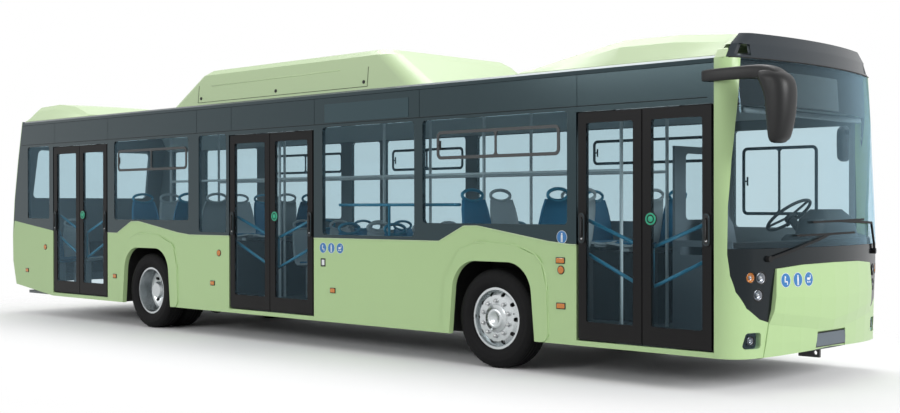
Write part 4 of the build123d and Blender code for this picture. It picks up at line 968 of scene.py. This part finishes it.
back_to_middle, back_top = 0.277, 0.905
seat_rows = Piece("moulded_seats", "seat_plastic")
pads = Piece("seat_pads", "seat_plastic")
for points in islands("seats"):
    low, high = box_of(points)
    seat_y = (low.y + high.y) / 2
    top = [p for p in points if p.z > high.z - 0.02]
    back_x = sum(p.x for p in top) / len(top)
    run = 1 if back_x < (low.x + high.x) / 2 else -1
    seat_x = back_x + run * back_to_middle
    base = high.z - back_top
    finish = seat_blue if abs(seat_y) > 0.75 else seat_grey
    add_seat(seat_rows, seat_x, seat_y, base, run, finish)
    seat_rows.block((seat_x - 0.06, seat_y - 0.12, low.z), (seat_x + 0.04, seat_y + 0.12, base + 0.43),
                    grab_grey, 0.01)
    pads.block((seat_x - 0.12, seat_y - 0.175, base + 0.452), (seat_x + 0.18, seat_y + 0.175, base + 0.482),
               seat_blue, 0.02)
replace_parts(seat_rows.make(), "seats")
pads.make()

rear_bay = Piece("engine_bay_covers", "floor_cover")
# The first sheet is near black, just inside the tail panel: painted shade for the dark engine bay behind the
# louvres.
rear_bay.block((tail_x + 0.125, -0.47, 0.54), (tail_x + 0.133, 0.47, 1.02), arch_black, 0.001)
rear_bay.block((tail_x + 0.43, 0.235, 1.262), (tail_x + 1.42, 1.225, 1.275), seat_shell, 0.002)
rear_bay.block((tail_x + 1.405, 0.235, 0.348), (tail_x + 1.42, 1.225, 1.262), seat_shell, 0.002)
rear_bay.block((tail_x + 0.43, 0.235, 0.348), (tail_x + 1.405, 0.245, 1.262), seat_shell, 0.002)
rear_bay.make()


# Floor, backdrop, lamps and camera

def build_stage():
    """A pale floor that fades into a white surround, a soft sky and three large lamps."""
    mesh = bpy.data.meshes.new("studio_floor")
    mesh.from_pydata([(x, y, 0) for x, y in oblong(0, 0, floor_reach, floor_reach)], [], [(0, 1, 2, 3)])
    ground = bpy.data.objects.new("studio_floor", mesh)
    bpy.context.scene.collection.objects.link(ground)
    pale = Finish("studio_floor", (0.88, 0.88, 0.89), 0.9)
    place = pale.node("Mapping", Vector=pale.place(), Scale=(0.55, 1, 0))
    away = pale.node("VectorMath", {"operation": "LENGTH"}, 1, n0=place)
    pale.set("Alpha", 1.0 - pale.ease(away, *floor_fade))
    mesh.materials.append(pale.made)
    world = bpy.data.worlds.new("soft_sky")
    bpy.context.scene.world = world
    world.use_nodes = True
    sky = Wiring(world.node_tree, "Background")
    aim = sky.node("TexCoord", out=0)
    above = sky.node("SeparateXYZ", out=2, Vector=aim) > 0.0
    strength = sky_low + above * (sky_light - sky_low)
    seen = sky.node("LightPath", out=0) + sky.node("LightPath", out=3) + sky.node("LightPath", out=6) > 0.5
    sky.set("Strength", strength + seen * (1.0 - strength))
    sky.set("Color", (1.0, 1.0, 1.0, 1.0))
    for name, place, target, size, power in lamps:
        data = bpy.data.lights.new(name, "AREA")
        data.shape, data.size, data.size_y, data.energy = "RECTANGLE", size[0], size[1], power
        lamp = bpy.data.objects.new(name, data)
        bpy.context.scene.collection.objects.link(lamp)
        lamp.location = place
        lamp.rotation_euler = (Vector(target) - Vector(place)).to_track_quat("-Z", "Y").to_euler()


floor_reach, floor_fade = 70, (2.4, 5.6)
sky_light, sky_low = 0.50, 0.36
# Name, place, target, size and power of each lamp
lamps = [("soft_box_side", (-3, -18, 7), (-2, 0, 1.5), (14, 4), 1050),
         ("soft_box_front", (19, -2, 7), (5, 0, 1.5), (9, 5), 1900),
         ("soft_box_top", (-3, 4, 15), (0, 0, 0), (15, 8), 1750)]

# The camera, solved from the photograph: place, yaw, pitch, roll, and focal length and middle in its pixels
camera_place = (11.3578, -10.3414, 1.5574)
yaw, pitch, roll = 0.7728, -0.0044, -0.0014
photo_size = (900, 413)
focal_pixels = 1270.9
principal = (439.34, 211.86)


def build_camera():
    """A camera that frames the bus as the photograph does."""
    data = bpy.data.cameras.new("camera")
    width, height = photo_size
    data.sensor_width = 36.0
    data.lens = focal_pixels / width * data.sensor_width
    data.shift_x = (width / 2 - principal[0]) / width
    data.shift_y = (principal[1] - height / 2) / width
    data.clip_end = 300.0
    camera = bpy.data.objects.new("camera", data)
    bpy.context.scene.collection.objects.link(camera)
    ahead = Vector((-sin(yaw) * cos(pitch), cos(yaw) * cos(pitch), sin(pitch)))
    right = Vector((cos(yaw), sin(yaw), 0))
    up = right.cross(ahead)
    tilted = cos(roll) * right + sin(roll) * up
    raised = -sin(roll) * right + cos(roll) * up
    turn = Matrix((tilted, raised, -ahead)).transposed()
    camera.matrix_world = Matrix.Translation(camera_place) @ turn.to_4x4()
    bpy.context.scene.camera = camera


build_stage()
build_camera()
bpy.context.scene.view_settings.view_transform = "Standard"
